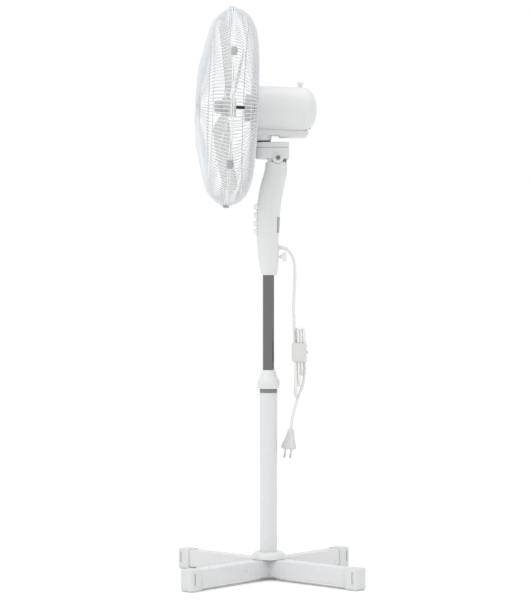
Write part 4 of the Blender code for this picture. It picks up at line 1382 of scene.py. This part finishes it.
@dataclass
class Head:
    """The guard, the motor and its covers, the blade and the oscillating drive."""

    pitch: float = radians(-2.0)
    rim_place: Point = (0.0, -0.085, 1.009)
    rim_radius: float = 0.2118
    rim_half_gap: float = 0.002
    rim_wire: float = 0.0012
    thin_wire: float = 0.00085
    wires: int = 160
    blade_radius: float = 0.190
    barrel_radius: float = 0.0485
    barrel_wall: float = 0.0022
    barrel_room: float = 0.0489
    front_route: Profile = (
        (0.2118, 0.0020),
        (0.2090, 0.0100),
        (0.2000, 0.0235),
        (0.1920, 0.0320),
        (0.1810, 0.0405),
        (0.1560, 0.0490),
        (0.1260, 0.0568),
        (0.0980, 0.0635),
        (0.0710, 0.0685),
        (0.0385, 0.0690),
    )
    rear_route: Profile = (
        (0.2118, -0.0020),
        (0.2098, -0.0110),
        (0.2060, -0.0220),
        (0.1990, -0.0325),
        (0.1900, -0.0405),
        (0.1720, -0.0495),
        (0.1500, -0.0548),
        (0.1180, -0.0568),
        (0.0840, -0.0563),
        (0.0600, -0.0525),
        (0.0480, -0.0518),
        (0.0230, -0.0516),
    )
    clip_angles: Sequence[float] = (27, 93, 177, 273, 321)

    def frame(self) -> Matrix:
        """The head's own frame, at the rim's centre."""
        return Matrix.Translation(self.rim_place) @ Matrix.Rotation(self.pitch, 4, "X")

    def forward(self, roll: float = 0.0) -> Matrix:
        """Takes a piece's Z onto the fan's axis, pointing forward, rolled about it."""
        return self.frame() @ Matrix.Rotation(roll, 4, "Y") @ Matrix.Rotation(pi / 2, 4, "X")

    def build(self, bench: Bench) -> None:
        """Makes the whole head.

        Args:
            bench: Finishes the pieces.
        """
        self.build_baskets(bench)
        self.build_badge(bench)
        self.build_clips(bench)
        self.build_motor(bench)
        self.build_under_cover(bench)
        self.build_blade(bench)
        self.build_knob(bench)
        bench.dress(bench.palette.black, "motor_shaft")
        bench.dress(bench.palette.cap, "motor_front_plate")
        bench.dress(bench.palette.copper, "stator")
        bench.dress(bench.palette.steel, "rotor_core", "crank_link")
        bench.dress(bench.palette.dark_grey, "gearbox_case", "worm_wheel", "crank_gear")

    def basket(self, route: Profile, inner: int, rings: Sequence[tuple[float, float, float]]) -> BMesh:
        """One half of the guard: radial wires on rings.

        Args:
            route: Radius and forward distance of points along a radial wire.
            inner: How many of those points the shorter wires have.
            rings: Radius, forward distance and wire radius of each ring.

        Returns:
            The whole basket.
        """
        half = self.wires // 2
        long_route = smooth_route([(radius, 0.0, forward) for radius, forward in route], 0.009)
        short_route = smooth_route([(radius, 0.0, forward) for radius, forward in route[:inner]], 0.009)
        shape = repeated(swept(long_route, self.thin_wire), half)
        shape = together(shape, repeated(swept(short_route, self.thin_wire), half, pi / half))
        for radius, forward, wire in rings:
            shape = together(shape, hoop(radius, forward, wire))
        return shape

    def build_baskets(self, bench: Bench) -> None:
        """Makes both halves of the wire guard."""
        rim = self.rim_wire
        thin = self.thin_wire + 0.0003
        front_rings = [
            (self.rim_radius, self.rim_half_gap, rim),
            (0.1810, 0.0389, thin),
            (0.0710, 0.0669, thin),
            (0.0388, 0.0674, thin),
        ]
        front = self.basket(self.front_route, 9, front_rings)
        coat = bench.palette.wire
        bench.piece("front_basket", moved(front, self.forward()), coat, Body.HEAD, ("front_guard",))
        rear_rings = [
            (self.rim_radius, -self.rim_half_gap, rim),
            (0.1890, -0.0392, thin),
            (0.0840, -0.0547, thin),
            (0.0480, -0.0502, thin),
            (0.0235, -0.0505, thin),
        ]
        rear = self.basket(self.rear_route, 9, rear_rings)
        bench.piece("rear_basket", moved(rear, self.forward()), coat, Body.HEAD, ("rear_guard",))
        nut = [
            (0.0280, -0.0362),
            (0.0276, -0.0350),
            (0.0148, -0.0350),
            (0.0148, -0.0498),
            (0.0276, -0.0498),
            (0.0280, -0.0490),
        ]
        ring = turned(nut, 72, ring=True)
        lobe = block((0.0040, 0.0050, 0.0120), (0.0275, 0.0, -0.0425), 0.0014, 3)
        ring = together(ring, repeated(lobe, 12))
        moved(ring, self.forward())
        bench.piece("basket_nut", ring, bench.palette.cap, Body.HEAD, ("guard_nut",), 50.0)

    def build_badge(self, bench: Bench) -> None:
        """Makes the plain round plate in the middle of the front basket."""
        profile = [
            (0.0, 0.0722),
            (0.0240, 0.0722),
            (0.0300, 0.0721),
            (0.0345, 0.0718),
            (0.0380, 0.0712),
            (0.0393, 0.0707),
            (0.0395, 0.0700),
            (0.0390, 0.0694),
            (0.0368, 0.0692),
            (0.0365, 0.0620),
            (0.0358, 0.0610),
            (0.0, 0.0610),
        ]
        badge = moved(turned(profile), self.forward())
        bench.piece("badge_plate", badge, bench.palette.shell, Body.HEAD, ("front_badge",))

    def build_clips(self, bench: Bench) -> None:
        """Makes the five clips that hold the two rims together."""
        outline = [
            (-0.0015, -0.0023),
            (-0.0015, -0.0036),
            (-0.0009, -0.0038),
            (0.0034, -0.0038),
            (0.0042, -0.0030),
            (0.0042, 0.0069),
            (0.0034, 0.0077),
            (-0.0009, 0.0077),
            (-0.0015, 0.0075),
            (-0.0015, 0.0061),
            (0.0023, 0.0061),
            (0.0023, -0.0023),
        ]
        for k, angle in enumerate(self.clip_angles):
            radial = radians(angle)
            clip = slab(outline, 0.0180, 0.0005)
            hook = block((0.0030, 0.0018, 0.0090), (0.0030, 0.0084, 0.0), 0.0006, 2)
            hinge = (self.rim_radius * cos(radial), -self.rim_half_gap, self.rim_radius * sin(radial))
            place = self.frame() @ Matrix.Translation(hinge) @ Matrix.Rotation(-radial, 4, "Y")
            bench.piece(
                f"rim_clip_{k + 1}",
                moved(together(clip, hook), place),
                bench.palette.grey,
                f"clip_{k + 1}",
                (f"guard_clip_{k + 1}",),
            )

    def build_motor(self, bench: Bench) -> None:
        """Makes the motor's cover: a barrel with a raised front lip and a domed rear."""
        radius, wall = self.barrel_radius, self.barrel_wall
        start, end = -0.158, -0.189
        rise = start - end
        angles = [radians(90 * k / 16) for k in range(16)]
        outside = [(radius * cos(a), start - rise * sin(a)) for a in angles]
        lining = [((radius - wall) * cos(a), start - (rise - wall) * sin(a)) for a in angles]
        profile = [(0.0, end + wall), *lining[::-1], (radius - wall, -0.0565)]
        groove = radius - 0.0006
        profile += [(groove, -0.0565), (radius, -0.0571), (radius, -0.0620), (groove, -0.0626)]
        profile += [(groove, -0.0634), (radius, -0.0640), *outside, (0.0, end)]
        cover = turned(profile, 128)
        opening = block((0.029, 0.090, 0.05), (0, 0.044, 0.965))
        knob_hole = rod(0.0048, 0.06, (0, 0.0685, 1.045))
        cover = carved(moved(cover, self.forward()), opening, knob_hole)
        bench.piece("motor_shell", cover, bench.palette.motor_shell, Body.HEAD, ("motor_cover",), 40.0)

    def build_under_cover(self, bench: Bench) -> None:
        """Makes the pan under the motor and the boss that turns on the swivel post."""
        pan = block((0.036, 0.1100, 0.0300), (0, 0.0300, 0.9630), 0.0042, 4)
        bulge = block((0.035, 0.0600, 0.0200), (0, 0.0520, 0.9545), 0.0032, 4)
        shaft_room = rod(0.0074, 0.03, (0, -0.010, 0.944))
        barrel_middle = self.frame() @ Vector((0.0, 0.115, 0.0))
        room = rod(self.barrel_room, 0.25, (0, 0, 0), Axis.Z, 96)
        moved(room, Matrix.Translation(barrel_middle) @ Matrix.Rotation(pi / 2 + self.pitch, 4, "X"))
        spare = room.copy()
        pan = carved(pan, room, shaft_room)
        bulge = carved(bulge, spare)
        boss = [
            (0.0074, 0.9489),
            (0.0175, 0.9489),
            (0.0175, 0.9477),
            (0.0171, 0.9468),
            (0.0153, 0.9378),
            (0.0148, 0.9373),
            (0.0074, 0.9373),
        ]
        ring = moved(turned(boss, 72, ring=True), Matrix.Translation((0, -0.010, 0)))
        cover = together(pan, bulge, ring)
        bench.piece("under_pan", cover, bench.palette.shell, Body.HEAD, ("motor_under_cover",), 40.0)

    def vane(self) -> BMesh:
        """One twisted vane, a sheet that thins towards its tip.

        Returns:
            The closed vane, its root inside the hub.
        """
        root = 0.0165
        sweep = radians(26)
        shape = bmesh.new()
        bmesh.ops.create_grid(shape, x_segments=30, y_segments=26, size=0.5)
        for vertex in shape.verts:
            out = vertex.co.x + 0.5
            over = vertex.co.y
            radius = root + (self.blade_radius - root) * out
            width = radians(88) * (0.42 + 0.58 * out**0.6)
            corner = 0.10 * max(0.0, out - 0.6) / 0.4 * (2 * over) ** 2
            angle = over * width + sweep * out
            slope = radians(30 - 12 * out)
            lean = -radius * over * width * sin(slope) * 0.56
            reach = radius * (1 - corner)
            vertex.co = (reach * cos(angle), reach * sin(angle), lean + 0.001)
        bmesh.ops.recalc_face_normals(shape, faces=shape.faces)
        bmesh.ops.solidify(shape, geom=list(shape.faces), thickness=0.0016)
        return moved(settled(shape, 0.000001), Matrix.Translation((0, 0, 0.0008)))

    def build_blade(self, bench: Bench) -> None:
        """Makes the three-vane blade and the nut on its hub."""
        hub = [
            (0.0043, 0.0140),
            (0.0165, 0.0150),
            (0.0186, 0.0142),
            (0.0190, 0.0128),
            (0.0190, -0.0150),
            (0.0176, -0.0150),
            (0.0176, 0.0110),
            (0.0090, 0.0110),
            (0.0090, -0.0150),
            (0.0043, -0.0150),
        ]
        blade = moved(turned(hub, 72, ring=True), self.forward())
        for k in range(3):
            blade = together(blade, moved(self.vane(), self.forward(tau * k / 3 - pi / 2)))
        bench.piece("blade_fan", blade, bench.palette.blade, Body.FAN, ("fan_blade",), 50.0)
        spinner = [
            (0.0, 0.0310),
            (0.0060, 0.0308),
            (0.0100, 0.0300),
            (0.0128, 0.0280),
            (0.0138, 0.0258),
            (0.0140, 0.0153),
            (0.0043, 0.0153),
            (0.0043, 0.0263),
            (0.0, 0.0263),
        ]
        nut = turned(spinner, 60)
        grip = block((0.0014, 0.0024, 0.0100), (0.0139, 0.0, 0.0205), 0.0006, 2)
        nut = moved(together(nut, repeated(grip, 12)), self.forward())
        bench.piece("hub_nut", nut, bench.palette.cap, Body.FAN, ("blade_nut",), 50.0)

    def build_knob(self, bench: Bench) -> None:
        """Makes the push knob of the oscillating drive, with a waist for pulling it up."""
        profile = [
            (0.0, 0.0060),
            (0.0046, 0.0060),
            (0.0062, 0.0056),
            (0.0070, 0.0045),
            (0.0068, 0.0028),
            (0.0058, 0.0012),
            (0.0060, 0.0),
            (0.0040, 0.0),
            (0.0040, -0.0140),
            (0.0, -0.0140),
        ]
        knob = moved(turned(profile, 60), Matrix.Translation((0, 0.0685, 1.0578)))
        bench.piece("swing_knob", knob, bench.palette.keys, Body.KNOB, ("oscillation_knob",))


def main() -> None:
    """Builds the studio and each sub-assembly in order."""
    logging.basicConfig(level=logging.INFO, format="%(message)s")
    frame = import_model()
    bench = Bench(frame["nodes"])
    Studio().build()
    for assembly in (Lead(), Stand(), Column(), Saddle(), Head()):
        assembly.build(bench)
        LOG.info("%s built", type(assembly).__name__)


if __name__ == "__main__":
    main()
